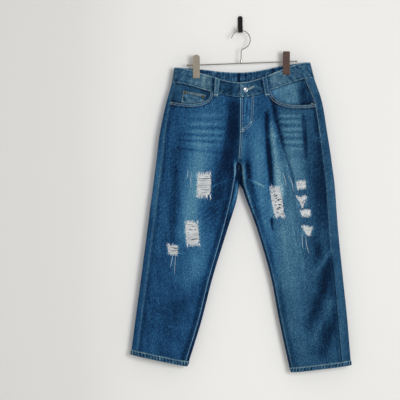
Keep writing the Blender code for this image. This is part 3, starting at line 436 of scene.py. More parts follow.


# --- wear of the dye, with painted shade and highlights

# Where the dye is worn pale, or left dark where the strength is negative; many dark lines are painted shade
# in folds and beside the fly, and many pale lines beside them and along the inseams are painted highlights
WEAR_SHADE_AND_HIGHLIGHTS = marks(
    Face.FRONT,
    (
        # the right leg: worn thigh, knee and calf, painted fold shade beside the fly and painted highlights
        # along the inseam
        (-0.104, -0.258, -0.112, -0.385, 0.046, 0.19, 3.0), (-0.122, -0.385, -0.160, -0.620, 0.032, 0.43),
        (-0.116, -0.620, -0.160, -0.790, 0.040, 0.21), (-0.247, -0.360, -0.262, -0.570, 0.015, 0.17),
        (-0.190, -0.365, -0.204, -0.650, 0.014, -0.18),
        (-0.021, -0.226, -0.023, -0.320, 0.0200, -0.32, 2.8),
        (-0.023, -0.320, -0.036, -0.420, 0.0250, -0.30, 2.6),
        (-0.046, -0.410, -0.082, -0.590, 0.030, -0.22), (-0.0175, -0.410, -0.0165, -0.455, 0.0032, 0.50),
        (-0.0125, -0.475, -0.0150, -0.512, 0.0060, 0.30), (-0.0170, -0.512, -0.0310, -0.562, 0.0060, 0.30),
        (-0.200, -0.800, -0.240, -0.970, 0.060, -0.10), (-0.128, -0.780, -0.190, -0.860, 0.020, -0.10),
        (-0.112, -0.700, -0.142, -0.772, 0.018, 0.05), (-0.250, -0.880, -0.262, -0.985, 0.010, 0.07),
        # the left leg: painted shade in the folds, painted highlights on the ridges beside them and along the
        # inseam, and worn patches
        (0.150, -0.268, 0.158, -0.400, 0.034, 0.21, 3.0), (0.150, -0.395, 0.176, -0.470, 0.028, 0.26),
        (0.0890, -0.300, 0.1020, -0.390, 0.0095, 0.50), (0.1020, -0.390, 0.1180, -0.505, 0.0135, 0.50),
        (0.0778, -0.268, 0.0805, -0.345, 0.0070, -0.48, 3.0),
        (0.0808, -0.350, 0.0932, -0.486, 0.0066, -0.64, 3.0),
        (0.0925, -0.584, 0.0932, -0.598, 0.0042, -0.70), (0.0932, -0.600, 0.0970, -0.618, 0.0030, -0.45),
        (0.0955, -0.222, 0.1075, -0.290, 0.0068, -0.44, 3.0),
        (0.1078, -0.292, 0.1300, -0.376, 0.0050, -0.42), (0.1305, -0.378, 0.1620, -0.480, 0.0036, -0.32),
        (0.1875, -0.278, 0.1960, -0.400, 0.0072, -0.30, 3.0), (0.200, -0.420, 0.207, -0.470, 0.010, -0.12),
        (0.045, -0.300, 0.062, -0.520, 0.022, 0.28), (0.008, -0.340, 0.006, -0.400, 0.0085, 0.20, 3.0),
        (0.0090, -0.416, 0.0120, -0.480, 0.0050, 0.52), (0.0130, -0.482, 0.0400, -0.570, 0.0040, 0.34),
        (0.0205, -0.410, 0.0280, -0.462, 0.0070, -0.30), (0.0270, -0.460, 0.0480, -0.530, 0.0070, -0.24),
        (0.128, -0.470, 0.150, -0.770, 0.046, 0.27), (0.062, -0.520, 0.085, -0.660, 0.020, 0.18),
        (0.148, -0.560, 0.172, -0.700, 0.0050, 0.12), (0.166, -0.600, 0.192, -0.770, 0.0060, 0.11),
        (0.124, -0.600, 0.140, -0.740, 0.0060, 0.09), (0.102, -0.680, 0.112, -0.810, 0.0080, 0.12),
        (0.158, -0.580, 0.180, -0.720, 0.0030, -0.10), (0.150, -0.770, 0.172, -1.000, 0.042, 0.13),
        (0.228, -0.255, 0.231, -0.330, 0.009, -0.14), (0.229, -0.370, 0.244, -0.600, 0.020, -0.24, 3.0),
        (0.268, -0.400, 0.290, -0.640, 0.011, 0.12), (0.215, -0.630, 0.240, -0.700, 0.012, -0.16),
        (0.2690, -0.680, 0.2340, -0.737, 0.0065, 0.22), (0.240, -0.660, 0.222, -0.715, 0.0110, -0.17),
        (0.262, -0.715, 0.248, -0.800, 0.0180, -0.31, 2.0), (0.248, -0.800, 0.205, -0.905, 0.0160, -0.27),
        (0.2757, -0.826, 0.2150, -0.955, 0.0075, 0.13), (0.281, -0.880, 0.247, -0.990, 0.015, -0.25),
        (0.200, -0.890, 0.210, -0.990, 0.014, -0.03), (0.249, -0.860, 0.246, -0.945, 0.013, -0.13),
        (0.296, -0.730, 0.304, -1.000, 0.012, 0.10),
    ),
) + marks(
    Face.BACK,
    (
        # back: painted deep shade behind the crotch, and the worn seat and backs of the knees
        (-0.005, -0.400, -0.005, -0.500, 0.011, -0.80), (-0.120, -0.300, -0.125, -0.480, 0.050, 0.22),
        (0.125, -0.300, 0.130, -0.480, 0.050, 0.22), (-0.150, -0.600, -0.190, -0.860, 0.040, 0.12),
        (0.160, -0.600, 0.200, -0.860, 0.040, 0.12),
    ),
)

# Faint lines pressed across the tops of the thighs
WHISKERS = marks(
    Face.FRONT,
    (
        (0.112, -0.2766, 0.178, -0.2760, 0.0036, 0.24), (0.116, -0.2934, 0.182, -0.2930, 0.0036, 0.22),
        (0.120, -0.3158, 0.184, -0.3150, 0.0036, 0.20), (0.122, -0.3326, 0.184, -0.3330, 0.0034, 0.15),
        (0.126, -0.3537, 0.186, -0.3545, 0.0036, 0.20), (0.132, -0.3747, 0.188, -0.3755, 0.0036, 0.16),
        (0.090, -0.3350, 0.112, -0.3355, 0.0050, 0.16), (0.092, -0.3780, 0.115, -0.3780, 0.0030, 0.10),
        (0.114, -0.2855, 0.176, -0.2850, 0.0028, -0.10), (0.118, -0.3050, 0.180, -0.3045, 0.0034, -0.12),
        (0.124, -0.3245, 0.182, -0.3245, 0.0028, -0.08), (0.128, -0.3430, 0.184, -0.3435, 0.0034, -0.12),
        (0.130, -0.3640, 0.186, -0.3650, 0.0034, -0.12), (-0.150, -0.2745, -0.060, -0.2735, 0.0042, 0.12),
        (-0.158, -0.3005, -0.052, -0.3000, 0.0042, 0.17), (-0.156, -0.3225, -0.050, -0.3255, 0.0046, 0.19),
        (-0.158, -0.3410, -0.052, -0.3450, 0.0042, 0.17), (-0.158, -0.3590, -0.056, -0.3640, 0.0042, 0.16),
        (-0.160, -0.2870, -0.056, -0.2870, 0.0036, -0.08),
        (-0.150, -0.3110, -0.052, -0.3130, 0.0032, -0.12),
        (-0.185, -0.3320, -0.060, -0.3350, 0.0030, -0.12),
        (-0.190, -0.3480, -0.070, -0.3545, 0.0030, -0.16),
        (-0.190, -0.3725, -0.064, -0.3860, 0.0034, -0.18), (-0.086, -0.4885, -0.046, -0.4700, 0.0022, 0.30),
        (-0.084, -0.5450, -0.040, -0.5200, 0.0022, 0.16), (0.026, -0.4660, 0.074, -0.4890, 0.0036, 0.36),
        (-0.215, -0.906, -0.150, -0.914, 0.0030, 0.08),
    ),
) + marks(
    Face.BACK,
    (
        (-0.175, -0.622, -0.110, -0.606, 0.0060, 0.14), (-0.205, -0.668, -0.125, -0.640, 0.0060, 0.14),
        (0.115, -0.606, 0.185, -0.624, 0.0060, 0.14), (0.130, -0.644, 0.212, -0.670, 0.0060, 0.14),
    ),
)


@dataclass(frozen=True)
class WashAndShade:
    """How far the dye is worn at each place of the garment, with painted shade and highlights added: 0 dark,
    1 bleached.
    """

    base: float = 0.35
    blotch: float = 0.03
    blotch_pitch: float = 0.05
    streak: float = 0.030
    streak_pitch: float = 0.014
    grain: float = 0.045
    grain_pitch: float = 0.0085
    grain_fade: float = 0.7
    grain_fade_z: float = -0.60
    fullness: float = 0.5
    knee: float = 0.60
    ceiling: float = 0.90

    def at(self, points: Values, face: Optional[Face] = None) -> Values:
        """Reads the wear with its painted shade and highlights.

        Args:
            points: Places on the cloth, X, Y and Z on the last axis.
            face: The face they are on, or None to tell it from their place.

        Returns:
            The dye's wear with its painted shade and highlights, not yet cut to 0 and 1.
        """
        x, y, z = points[..., 0], points[..., 1], points[..., 2]
        front = y < HANG_Y if face is None else np.full(x.shape, face == Face.FRONT)
        total = np.full(x.shape, self.base)
        for lines in (WEAR_SHADE_AND_HIGHLIGHTS, WHISKERS):
            fields = [mark_field(lines, way, x, z, self.fullness) for way in (Face.FRONT, Face.BACK)]
            total += np.where(front, *fields)
        total += ripple(x, z, self.blotch_pitch, 11) * self.blotch
        total += ripple(x, z * 0.12, self.streak_pitch, 13) * self.streak
        fade = 1.0 - self.grain_fade * smooth((self.grain_fade_z - z) / 0.15)
        total += ripple(x, z * 0.7, self.grain_pitch, 61) * self.grain * fade
        room = self.ceiling - self.knee
        over = np.maximum(total - self.knee, 0.0)
        return np.minimum(total, self.knee + room * (1.0 - np.exp(-over / room)))


WASH_AND_SHADE = WashAndShade()


# --- finishes


class Material:
    """A node material under construction, with short ways to add and join nodes."""

    def __init__(self, name: str) -> None:
        """Starts a material with its shader in place.

        Args:
            name: Its name.
        """
        self.data = bpy.data.materials.new(name)
        self.data.use_nodes = True
        self.tree = self.data.node_tree
        self.shader = self.tree.nodes["Principled BSDF"]

    def node(self, kind: str, **values: object) -> bpy.types.Node:
        """Adds a node with its properties and inputs."""
        return add_node(self.tree, kind, **values)

    def place(self) -> Socket:
        """Adds a reading of the piece's own place."""
        return self.node("TexCoord").outputs["Object"]

    def feed(self, **values: object) -> None:
        """Joins sockets to the shader's own, or sets plain numbers on them."""
        fill(self.tree, self.shader, values)

    def noise(self, scale: float, detail: float) -> Socket:
        """Adds noise from 0 to 1 over the piece's own place."""
        return self.node("TexNoise", Scale=scale, Detail=detail, Vector=self.place()).outputs["Fac"]

    def x(self) -> Socket:
        """Adds a reading of X on the piece, in metres."""
        return self.node("SeparateXYZ", Vector=self.place()).outputs["X"]

    def ramp(self, value: Socket, stops: Stops) -> Socket:
        """Turns a value into a colour by a ramp with the given stops.

        Args:
            value: The place on the ramp.
            stops: Its colours.

        Returns:
            The colour.
        """
        node = self.node("ValToRGB", Fac=value)
        elements = node.color_ramp.elements
        while len(elements) < len(stops):
            elements.new(0.5)
        for element, (position, colour) in zip(elements, stops):
            element.position = position
            element.color = (*colour, 1.0)
        return node.outputs["Color"]

    def bump(self, height: Socket, distance: float, strength: float) -> None:
        """Feeds a height, of which 1 is a distance in metres, to the shader's normal."""
        node = self.node("Bump", Distance=distance, Strength=strength, Height=height)
        self.feed(Normal=node.outputs["Normal"])


def fill(tree: Tree, node: bpy.types.Node, values: dict[str, object]) -> None:
    """Joins sockets to a node's inputs, or sets plain values on them.

    Args:
        tree: The tree.
        node: The node.
        values: A socket or a value for each input, whose name has low lines for spaces.
    """
    for name, value in values.items():
        target = node.inputs[name.replace("_", " ")]
        if isinstance(value, Socket):
            tree.links.new(value, target)
        else:
            target.default_value = value


def add_node(tree: Tree, kind: str, **values: object) -> bpy.types.Node:
    """Adds a node to a tree, with its properties and inputs.

    Args:
        tree: The tree.
        kind: The node's type, after ShaderNode.
        values: Its properties by their names, and its inputs by names that have a capital.

    Returns:
        The node.
    """
    node = tree.nodes.new(f"ShaderNode{kind}")
    for name in [name for name in values if name.islower()]:
        setattr(node, name, values.pop(name))
    fill(tree, node, values)
    return node


def maths(tree: Tree, operation: str, first: object, second: object, clamp: bool = False) -> Socket:
    """Adds a Math node on two sockets or numbers.

    Args:
        tree: The tree to add it to.
        operation: The Math node's operation.
        first: A socket or a number.
        second: A socket or a number.
        clamp: Whether to keep the result from 0 to 1.

    Returns:
        The node's output.
    """
    node = add_node(tree, "Math", operation=operation, use_clamp=clamp)
    for socket, value in zip(node.inputs, (first, second)):
        if isinstance(value, Socket):
            tree.links.new(value, socket)
        else:
            socket.default_value = value
    return node.outputs[0]


def new_group(name: str, inputs: dict[str, float], outputs: Sequence[str]) -> Tree:
    """Makes an empty shader group with a vector input and named numbers.

    Args:
        name: The group's name.
        inputs: Each number input with its default.
        outputs: The names of its number outputs.

    Returns:
        The group, with its input and output nodes in place.
    """
    tree = bpy.data.node_groups.new(name, "ShaderNodeTree")
    tree.interface.new_socket("Vector", in_out="INPUT", socket_type="NodeSocketVector")
    for label, value in inputs.items():
        socket = tree.interface.new_socket(label, in_out="INPUT", socket_type="NodeSocketFloat")
        socket.default_value = value
    for label in outputs:
        tree.interface.new_socket(label, in_out="OUTPUT", socket_type="NodeSocketFloat")
    tree.nodes.new("NodeGroupInput")
    tree.nodes.new("NodeGroupOutput")
    return tree


def twill_group() -> Tree:
    """The weave of denim: diagonal ribs, uneven warp threads and fine specks.

    Returns:
        The group, which puts out a shade and a height.
    """
    tree = new_group("twill_weave", {"Rib Pitch": 0.0011, "Slub": 0.5}, ("Shade", "Height"))
    source, sink = tree.nodes["Group Input"], tree.nodes["Group Output"]
    whole = source.outputs["Vector"]

    def scaled(x: float, y: float, turn: float = 0.0) -> Socket:
        """Scales and turns the cloth's map."""
        node = add_node(tree, "Mapping", Scale=(x, y, 1.0), Rotation=(0.0, 0.0, turn), Vector=whole)
        return node.outputs[0]

    def noise(vector: Socket, scale: float, detail: float) -> Socket:
        """Adds noise over a vector."""
        return add_node(tree, "TexNoise", Scale=scale, Detail=detail, Vector=vector).outputs["Fac"]

    pitch = maths(tree, "DIVIDE", 0.31, source.outputs["Rib Pitch"])
    slant = scaled(1.0, 1.0, math.radians(27))
    wave = add_node(tree, "TexWave", wave_profile="SIN", Vector=slant, Scale=pitch).outputs["Fac"]
    warp = noise(scaled(2.0, 0.50), 170.0, 3.0)
    weft = noise(scaled(0.8, 2.2), 150.0, 3.0)
    speck = noise(scaled(1.0, 1.0), 330.0, 4.0)
    uneven = maths(tree, "ADD", maths(tree, "MULTIPLY", warp, 0.50), maths(tree, "MULTIPLY", weft, 0.18))
    uneven = maths(tree, "ADD", uneven, maths(tree, "MULTIPLY", speck, 1.15))
    uneven = maths(tree, "SUBTRACT", uneven, 0.94)
    shade = maths(tree, "MULTIPLY", uneven, source.outputs["Slub"])
    shade = maths(tree, "ADD", shade, maths(tree, "MULTIPLY", wave, 0.05))
    height = maths(tree, "ADD", maths(tree, "MULTIPLY", wave, 0.5), maths(tree, "MULTIPLY", warp, 0.9))
    fill(tree, sink, {"Shade": shade, "Height": height})
    return tree


def handling_group() -> Tree:
    """Fine scratches and smears on metal and paint.

    Returns:
        The group, which puts out the marks and a height.
    """
    tree = new_group("handling_marks", {"Grain": 900.0, "Smear": 60.0}, ("Marks", "Height"))
    source, sink = tree.nodes["Group Input"], tree.nodes["Group Output"]
    whole, grain, smear = (source.outputs[label] for label in ("Vector", "Grain", "Smear"))
    scratches = add_node(tree, "TexNoise", Scale=grain, Detail=2.0, Vector=whole).outputs["Fac"]
    smears = add_node(tree, "TexNoise", Scale=smear, Detail=4.0, Vector=whole).outputs["Fac"]
    both = maths(tree, "ADD", maths(tree, "MULTIPLY", scratches, 0.4), maths(tree, "MULTIPLY", smears, 0.6))
    fill(tree, sink, {"Marks": both, "Height": scratches})
    return tree


@dataclass(frozen=True)
class Denim:
    """Denim that reads its wear and painted shade from the cloth, and its weave from the cloth's own map."""

    name: str
    stops: Stops = dye(
        (0.00, 7, 22, 44), (0.15, 14, 40, 70), (0.30, 24, 62, 99), (0.45, 37, 82, 121),
        (0.60, 54, 103, 138), (0.75, 72, 122, 148), (0.90, 102, 146, 163), (1.00, 164, 188, 196),
    )
    left_stops: Stops = ()
    left_from: float = 0.075
    left_to: float = 0.135
    slub: float = 1.0
    bump: float = 0.00025
    rib_pitch: float = 0.0
    rib_depth: float = 0.17

    def build(self, weave: Tree) -> Paint:
        """Makes the material.

        Args:
            weave: The group of the weave.

        Returns:
            The material.
        """
        material = Material(self.name)
        coords = material.node("UVMap", uv_map="cloth").outputs["UV"]
        # The cloth's wear with its painted shade and highlights, read at each point
        wear_and_shade = material.node("Attribute", attribute_name="wear_and_shade")
        group = material.node("Group", node_tree=weave, Slub=self.slub, Vector=coords)
        level = maths(material.tree, "ADD", wear_and_shade.outputs["Fac"], group.outputs["Shade"], clamp=True)
        if self.rib_pitch:
            scale = math.tau / 20 / self.rib_pitch
            ribs = material.node("TexWave", Scale=scale, Distortion=5.0, Detail=2.0, Vector=coords)
            ribbed = maths(material.tree, "MULTIPLY", ribs.outputs["Fac"], self.rib_depth)
            level = maths(material.tree, "SUBTRACT", level, ribbed, clamp=True)
        colour = material.ramp(level, self.stops)
        if self.left_stops:
            colour = self.greyed(material, level, colour)
        height = group.outputs["Height"]
        rough = maths(material.tree, "ADD", maths(material.tree, "MULTIPLY", height, 0.12), 0.80)
        material.feed(Base_Color=colour, Roughness=rough, Specular_IOR_Level=0.03)
        material.bump(height, self.bump, 0.8)
        return material.data

    def greyed(self, material: Material, level: Socket, colour: Socket) -> Socket:
        """Turns the dye greyer towards the wearer's left.

        Args:
            material: The material under construction.
            level: The wear.
            colour: The dye's colour on the wearer's right.

        Returns:
            The colour at each place.
        """
        ends = {"From_Min": self.left_from, "From_Max": self.left_to, "Value": material.x()}
        reach = material.node("MapRange", interpolation_type="SMOOTHSTEP", **ends)
        mix = material.node("Mix", data_type="RGBA", Factor=reach.outputs["Result"])
        first, second = (socket for socket in mix.inputs if socket.enabled and socket.type == "RGBA")
        material.tree.links.new(colour, first)
        material.tree.links.new(material.ramp(level, self.left_stops), second)
        return next(socket for socket in mix.outputs if socket.enabled)


@dataclass(frozen=True)
class Yarn:
    """Sewing thread or loose cotton, with its twist as fine bands."""

    name: str
    colour: Steps
    shade: Steps
    pitch: float = 0.0012

    def build(self) -> Paint:
        """Makes the material.

        Returns:
            The material.
        """
        material = Material(self.name)
        twist = material.noise(1.0 / self.pitch, 2.0)
        colour = material.ramp(twist, dye((0.32, *self.shade), (0.62, *self.colour)))
        material.feed(Base_Color=colour, Roughness=0.9)
        material.bump(twist, 0.0003, 0.5)
        return material.data


@dataclass(frozen=True)
class Metal:
    """Polished, satin or painted metal with the marks of handling."""

    name: str
    colour: Steps
    worn: Steps
    roughness: float
    metallic: float
    spread: float = 0.15
    shine: float = 0.5

    def build(self, marks: Tree) -> Paint:
        """Makes the material.

        Args:
            marks: The group of scratches and smears.

        Returns:
            The material.
        """
        material = Material(self.name)
        group = material.node("Group", node_tree=marks, Vector=material.place())
        worn = group.outputs["Marks"]
        colour = material.ramp(worn, dye((0.35, *self.colour), (0.75, *self.worn)))
        rough = maths(material.tree, "MULTIPLY", worn, self.spread)
        rough = maths(material.tree, "ADD", rough, self.roughness - self.spread / 2)
        material.feed(Base_Color=colour, Roughness=rough)
        material.feed(Metallic=self.metallic, Specular_IOR_Level=self.shine)
        material.bump(group.outputs["Height"], 0.00005, 0.35)
        return material.data


class Finishes:
    """Every material of the garment and its hanger, made once."""

    def __init__(self) -> None:
        """Builds the shared groups and the materials."""
        weave, scuffs = twill_group(), handling_group()
        left = dye(
            (0.00, 7, 22, 42), (0.15, 15, 40, 66), (0.30, 26, 60, 90), (0.45, 40, 79, 108),
            (0.60, 59, 100, 128), (0.75, 79, 121, 144), (0.90, 108, 147, 161), (1.00, 164, 188, 196),
        )
        greyer = dye(
            (0.00, 8, 22, 40), (0.14, 18, 45, 70), (0.28, 28, 63, 94), (0.45, 46, 82, 109),
            (0.62, 72, 106, 126), (0.76, 92, 126, 142), (0.90, 120, 150, 160), (1.00, 172, 192, 196),
        )
        inside = dye((0.00, 26, 46, 70), (0.50, 84, 112, 134), (1.00, 176, 190, 196))
        ribbed = dye((0.00, 9, 26, 50), (0.30, 31, 68, 102), (0.60, 66, 108, 138), (1.00, 168, 190, 198))
        self.denim = Denim("denim_outside", left_stops=left).build(weave)
        self.facing = Denim("denim_facing", stops=left).build(weave)
        self.inside = Denim("denim_inside", stops=inside).build(weave)
        self.band = Denim("denim_band", stops=greyer).build(weave)
        self.band_inside = Denim("denim_band_inside", stops=ribbed, rib_pitch=0.0085).build(weave)
        self.tan = Yarn("thread_tan", (182, 180, 150), (116, 124, 110)).build()
        self.pale = Yarn("thread_pale", (170, 192, 196), (112, 144, 158)).build()
        self.piping = Yarn("piping_olive", (134, 128, 92), (92, 92, 74)).build()
        self.faded = Yarn("thread_faded", (104, 134, 150), (60, 92, 118)).build()
        self.dark = Yarn("thread_brown", (140, 96, 74), (78, 54, 46)).build()
        self.strand = Yarn("loose_strand", (204, 220, 226), (160, 186, 198)).build()
        self.white = Yarn("loose_white", (234, 238, 240), (200, 206, 211)).build()
        self.button = Metal("button_silver", (184, 194, 204), (138, 150, 164), 0.34, 1.0).build(scuffs)
        self.rivet = Metal("rivet_copper", (92, 86, 52), (56, 56, 40), 0.50, 0.6).build(scuffs)
        self.wire = Metal("wire_chrome", (168, 166, 160), (120, 118, 114), 0.24, 1.0).build(scuffs)
        self.taupe = Metal("clip_taupe", (144, 136, 122), (128, 121, 108), 0.45, 0.1, shine=0.3).build(scuffs)
        self.brown = Metal("clip_brown", (81, 57, 50), (62, 43, 38), 0.45, 0.0, shine=0.2).build(scuffs)
        self.brass = Metal("cap_brass", (150, 140, 104), (110, 102, 78), 0.40, 0.8).build(scuffs)
        self.grey = Metal("cap_grey", (150, 148, 142), (120, 118, 112), 0.45, 0.2).build(scuffs)
        self.black = Metal("hook_black", (8, 8, 8), (20, 20, 19), 0.55, 0.0, shine=0.15).build(scuffs)


# --- sheets of cloth


@dataclass
class Grid:
    """Points of a sheet in rows down the cloth and columns across it."""

    points: Values
    closed: bool = False

    @property
    def x(self) -> Values:
        """X of its points."""
        return self.points[..., 0]

    @property
    def z(self) -> Values:
        """Z of its points."""
        return self.points[..., 2]

    def normals(self) -> Values:
        """Unit normals, turned away from the hanging plane as a whole.

        Returns:
            A normal for each point.
        """
        points = self.points
        if self.closed:
            before, after = np.roll(points, 1, axis=1), np.roll(points, -1, axis=1)
            before[:, 0], after[:, -1] = points[:, -2], points[:, 1]
            across = after - before
        else:
            across = np.gradient(points, axis=1)
        along = np.gradient(points, axis=0)
        normal = np.cross(along, across)
        normal /= np.maximum(np.linalg.norm(normal, axis=-1, keepdims=True), 1e-12)
        outward = np.sum(normal[..., 1] * (points[..., 1] - HANG_Y))
        return normal if outward > 0 else -normal

    def moved(self, distance: Values) -> "Grid":
        """The same sheet moved out by a distance, or in where it is negative."""
        distance = np.broadcast_to(np.asarray(distance, float), self.points.shape[:2])
        return Grid(self.points + self.normals() * distance[..., None], self.closed)

    def map(self) -> Values:
        """The sheet's own map in metres: across it and down it, from its middle column.

        Returns:
            The distances across and down on the last axis.
        """
        across = np.linalg.norm(np.diff(self.points, axis=1), axis=-1)
        along = np.linalg.norm(np.diff(self.points, axis=0), axis=-1)
        u = np.concatenate([np.zeros((len(across), 1)), np.cumsum(across, axis=1)], axis=1)
        v = np.concatenate([np.zeros((1, along.shape[1])), np.cumsum(along, axis=0)], axis=0)
        u -= u[:, u.shape[1] // 2 : u.shape[1] // 2 + 1]
        return np.stack([u, v], axis=-1)

    def probe(self) -> "Probe":
        """A way to find places on this sheet.

        Returns:
            The probe.
        """
        rows, columns = self.points.shape[:2]
        index = np.arange(rows * columns).reshape(rows, columns)
        quads = np.stack([index[:-1, :-1], index[:-1, 1:], index[1:, 1:], index[1:, :-1]], axis=-1)
        tree = BVHTree.FromPolygons(self.points.reshape(-1, 3).tolist(), quads.reshape(-1, 4).tolist())
        return Probe([tree])


@dataclass
class Probe:
    """Finds places on sheets by looking along Y."""

    trees: list[BVHTree]

    def place(self, x: float, z: float, face: Face, lift: float = 0.0) -> Optional[tuple[Vector, Vector]]:
        """The outermost place at x and z, lifted off along its normal, and that normal.

        Args:
            x: Across, in metres.
            z: Up, in metres.
            face: Which face to look at.
            lift: How far off it.

        Returns:
            The place and its normal, or None.
        """
        best = None
        for tree in self.trees:
            start = Vector((x, HANG_Y + face * 0.1, z))
            hit, normal, _, _ = tree.ray_cast(start, Vector((0.0, -face, 0.0)))
            if hit is None:
                continue
            if best is None or (hit.y - best[0].y) * face > 0:
                best = (hit, normal if normal.y * face > 0 else -normal)
        if best is None:
            return None
        return best[0] + best[1] * lift, best[1]

    def line(self, places: Outline, face: Face, lift: float = 0.0002, step: float = 0.0015) -> list["Spot"]:
        """Follows a line of X and Z places over the cloth, in short steps.

        Args:
            places: X and Z along the line.
            face: Which face to look at.
            lift: How far off it.
            step: The steps' length.

        Returns:
            The line's spots.
        """
        spots = []
        for (x0, z0), (x1, z1) in zip(places, places[1:]):
            count = max(int(math.hypot(x1 - x0, z1 - z0) / step), 1)
            for i in range(count):
                found = self.place(x0 + (x1 - x0) * i / count, z0 + (z1 - z0) * i / count, face, lift)
                if found:
                    spots.append(Spot(*found))
        found = self.place(*places[-1], face, lift)
        if found:
            spots.append(Spot(*found))
        return spots


class Spot(NamedTuple):
    """A place on cloth and its normal."""

    place: Vector
    normal: Vector


def inside(outline: Outline, x: Values, z: Values) -> Values:
    """Tells which points lie inside a closed outline.

    Args:
        outline: The outline.
        x: Across, in metres.
        z: Up, in metres.

    Returns:
        True for each point inside.
    """
    within = np.zeros(x.shape, bool)
    for (x0, z0), (x1, z1) in zip(outline, outline[1:] + outline[:1]):
        if z0 == z1:
            continue
        crosses = (z0 > z) != (z1 > z)
        within ^= crosses & (x < (x1 - x0) * (z - z0) / (z1 - z0) + x0)
    return within


def away_from(places: Outline, x: Values, z: Values) -> Values:
    """How far points are from the nearest of some places, up to a metre.

    Args:
        places: The places.
        x: Across, in metres.
        z: Up, in metres.

    Returns:
        The distances.
    """
    away = np.full(x.shape, 1.0)
    for place_x, place_z in places:
        away = np.minimum(away, np.hypot(x - place_x, z - place_z))
    return away


def nearest_on(outline: Outline, x: float, z: float) -> tuple[float, float]:
    """The point of a closed outline that is nearest to x and z.

    Args:
        outline: The outline.
        x: Across, in metres.
        z: Up, in metres.

    Returns:
        The point's X and Z.
    """
    best, found = 1e9, (x, z)
    for (x0, z0), (x1, z1) in zip(outline, outline[1:] + outline[:1]):
        along_x, along_z = x1 - x0, z1 - z0
        length = along_x**2 + along_z**2
        share = 0.0 if length == 0 else ((x - x0) * along_x + (z - z0) * along_z) / length
        share = min(max(share, 0.0), 1.0)
        near = (x0 + along_x * share, z0 + along_z * share)
        away = math.hypot(near[0] - x, near[1] - z)
        if away < best:
            best, found = away, near
    return found


def trim(bm: bmesh.types.BMesh, outline: Outline, keep_inside: bool) -> None:
    """Cuts a sheet along an outline in X and Z, and draws its new edge onto the outline.

    Args:
        bm: The sheet.
        outline: The closed outline.
        keep_inside: Whether the inside stays, or the outside.
    """
    bm.verts.ensure_lookup_table()
    places = np.array([vert.co for vert in bm.verts])
    within = inside(outline, places[:, 0], places[:, 2])
    gone = {vert for vert, hit in zip(bm.verts, within) if bool(hit) != keep_inside}
    edge = {corner for vert in gone for face in vert.link_faces for corner in face.verts} - gone
    moves = []
    for vert in edge:
        x, z = nearest_on(outline, vert.co.x, vert.co.z)
        slope = vert.normal
        y = vert.co.y
        if abs(slope.y) > 0.2:
            y -= (slope.x * (x - vert.co.x) + slope.z * (z - vert.co.z)) / slope.y
        moves.append((vert, Vector((x, y, z))))
    for vert, place in moves:
        vert.co = place
    bmesh.ops.delete(bm, geom=list(gone), context="VERTS")


def mesh_of(bm: bmesh.types.BMesh, name: str) -> bpy.types.Mesh:
    """Writes a finished bmesh to a new mesh and frees it.

    Args:
        bm: The bmesh.
        name: The mesh's name.

    Returns:
        The mesh.
    """
    mesh = bpy.data.meshes.new(name)
    bm.to_mesh(mesh)
    bm.free()
    return mesh


def make_object(name: str, data: bpy.types.ID, *materials: Paint) -> Item:
    """Links an object for some data and gives it its materials.

    Args:
        name: Its name.
        data: Its mesh or curve.
        materials: Its materials.

    Returns:
        The object.
    """
    item = bpy.data.objects.new(name, data)
    bpy.context.scene.collection.objects.link(item)
    for material in materials:
        data.materials.append(material)
    return item


def settle(item: Item, slot: str, nodes: Sequence[str] = ()) -> Item:
    """Rides a piece on the body and hides the solids that it stands for.

    Args:
        item: The piece.
        slot: Not used.
        nodes: The solids.

    Returns:
        The piece.
    """
    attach(item, BODY)
    if nodes:
        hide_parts(*nodes)
    return item


@dataclass
class Sheet:
    """One cut piece of cloth and how it is finished."""

    name: str
    grid: Grid
    wear_and_shade: Values
    wall: float = DENIM_WALL
    cuts: list[tuple[Outline, bool]] = field(default_factory=list)
    even: bool = True

    def build(self, outside: Paint, lining: Paint) -> Item:
        """Makes the sheet from a plain grid whose points are placed, cut and thickened.

        Args:
            outside: The material of its outer face.
            lining: The material of its inner face and of its cut edges.

        Returns:
            The finished object.
        """
        rows, columns = self.grid.points.shape[:2]
        bm = bmesh.new()
        uv = bm.loops.layers.uv.new("cloth")
        # Each point's wear with its painted shade and highlights
        wear_and_shade = bm.verts.layers.float.new("wear_and_shade")
        bmesh.ops.create_grid(bm, x_segments=columns - 1, y_segments=rows - 1, size=0.5)
        bm.verts.ensure_lookup_table()
        places = self.grid.points.reshape(-1, 3)
        values = np.clip(self.wear_and_shade, 0.0, 1.0).reshape(-1)
        for vert, place, value in zip(bm.verts, places, values):
            vert.co = place
            vert[wear_and_shade] = value
        flat = self.grid.map().reshape(-1, 2)
        for face in bm.faces:
            face.smooth = True
            for loop in face.loops:
                loop[uv].uv = flat[loop.vert.index]
        bmesh.ops.remove_doubles(bm, verts=bm.verts, dist=1e-6)
        bm.normal_update()
        turned = sum(
            face.normal.y * (face.calc_center_median().y - HANG_Y) * face.calc_area() for face in bm.faces
        )
        if turned < 0:
            bmesh.ops.reverse_faces(bm, faces=bm.faces)
            bm.normal_update()
        for outline, keep_inside in self.cuts:
            trim(bm, outline, keep_inside)
        item = make_object(self.name, mesh_of(bm, self.name), outside, lining)
        wall = item.modifiers.new("wall", "SOLIDIFY")
        wall.thickness = self.wall
        wall.offset = -1.0
        wall.use_even_offset = self.even
        wall.material_offset = 1
        wall.material_offset_rim = 1
        return item


# --- threads


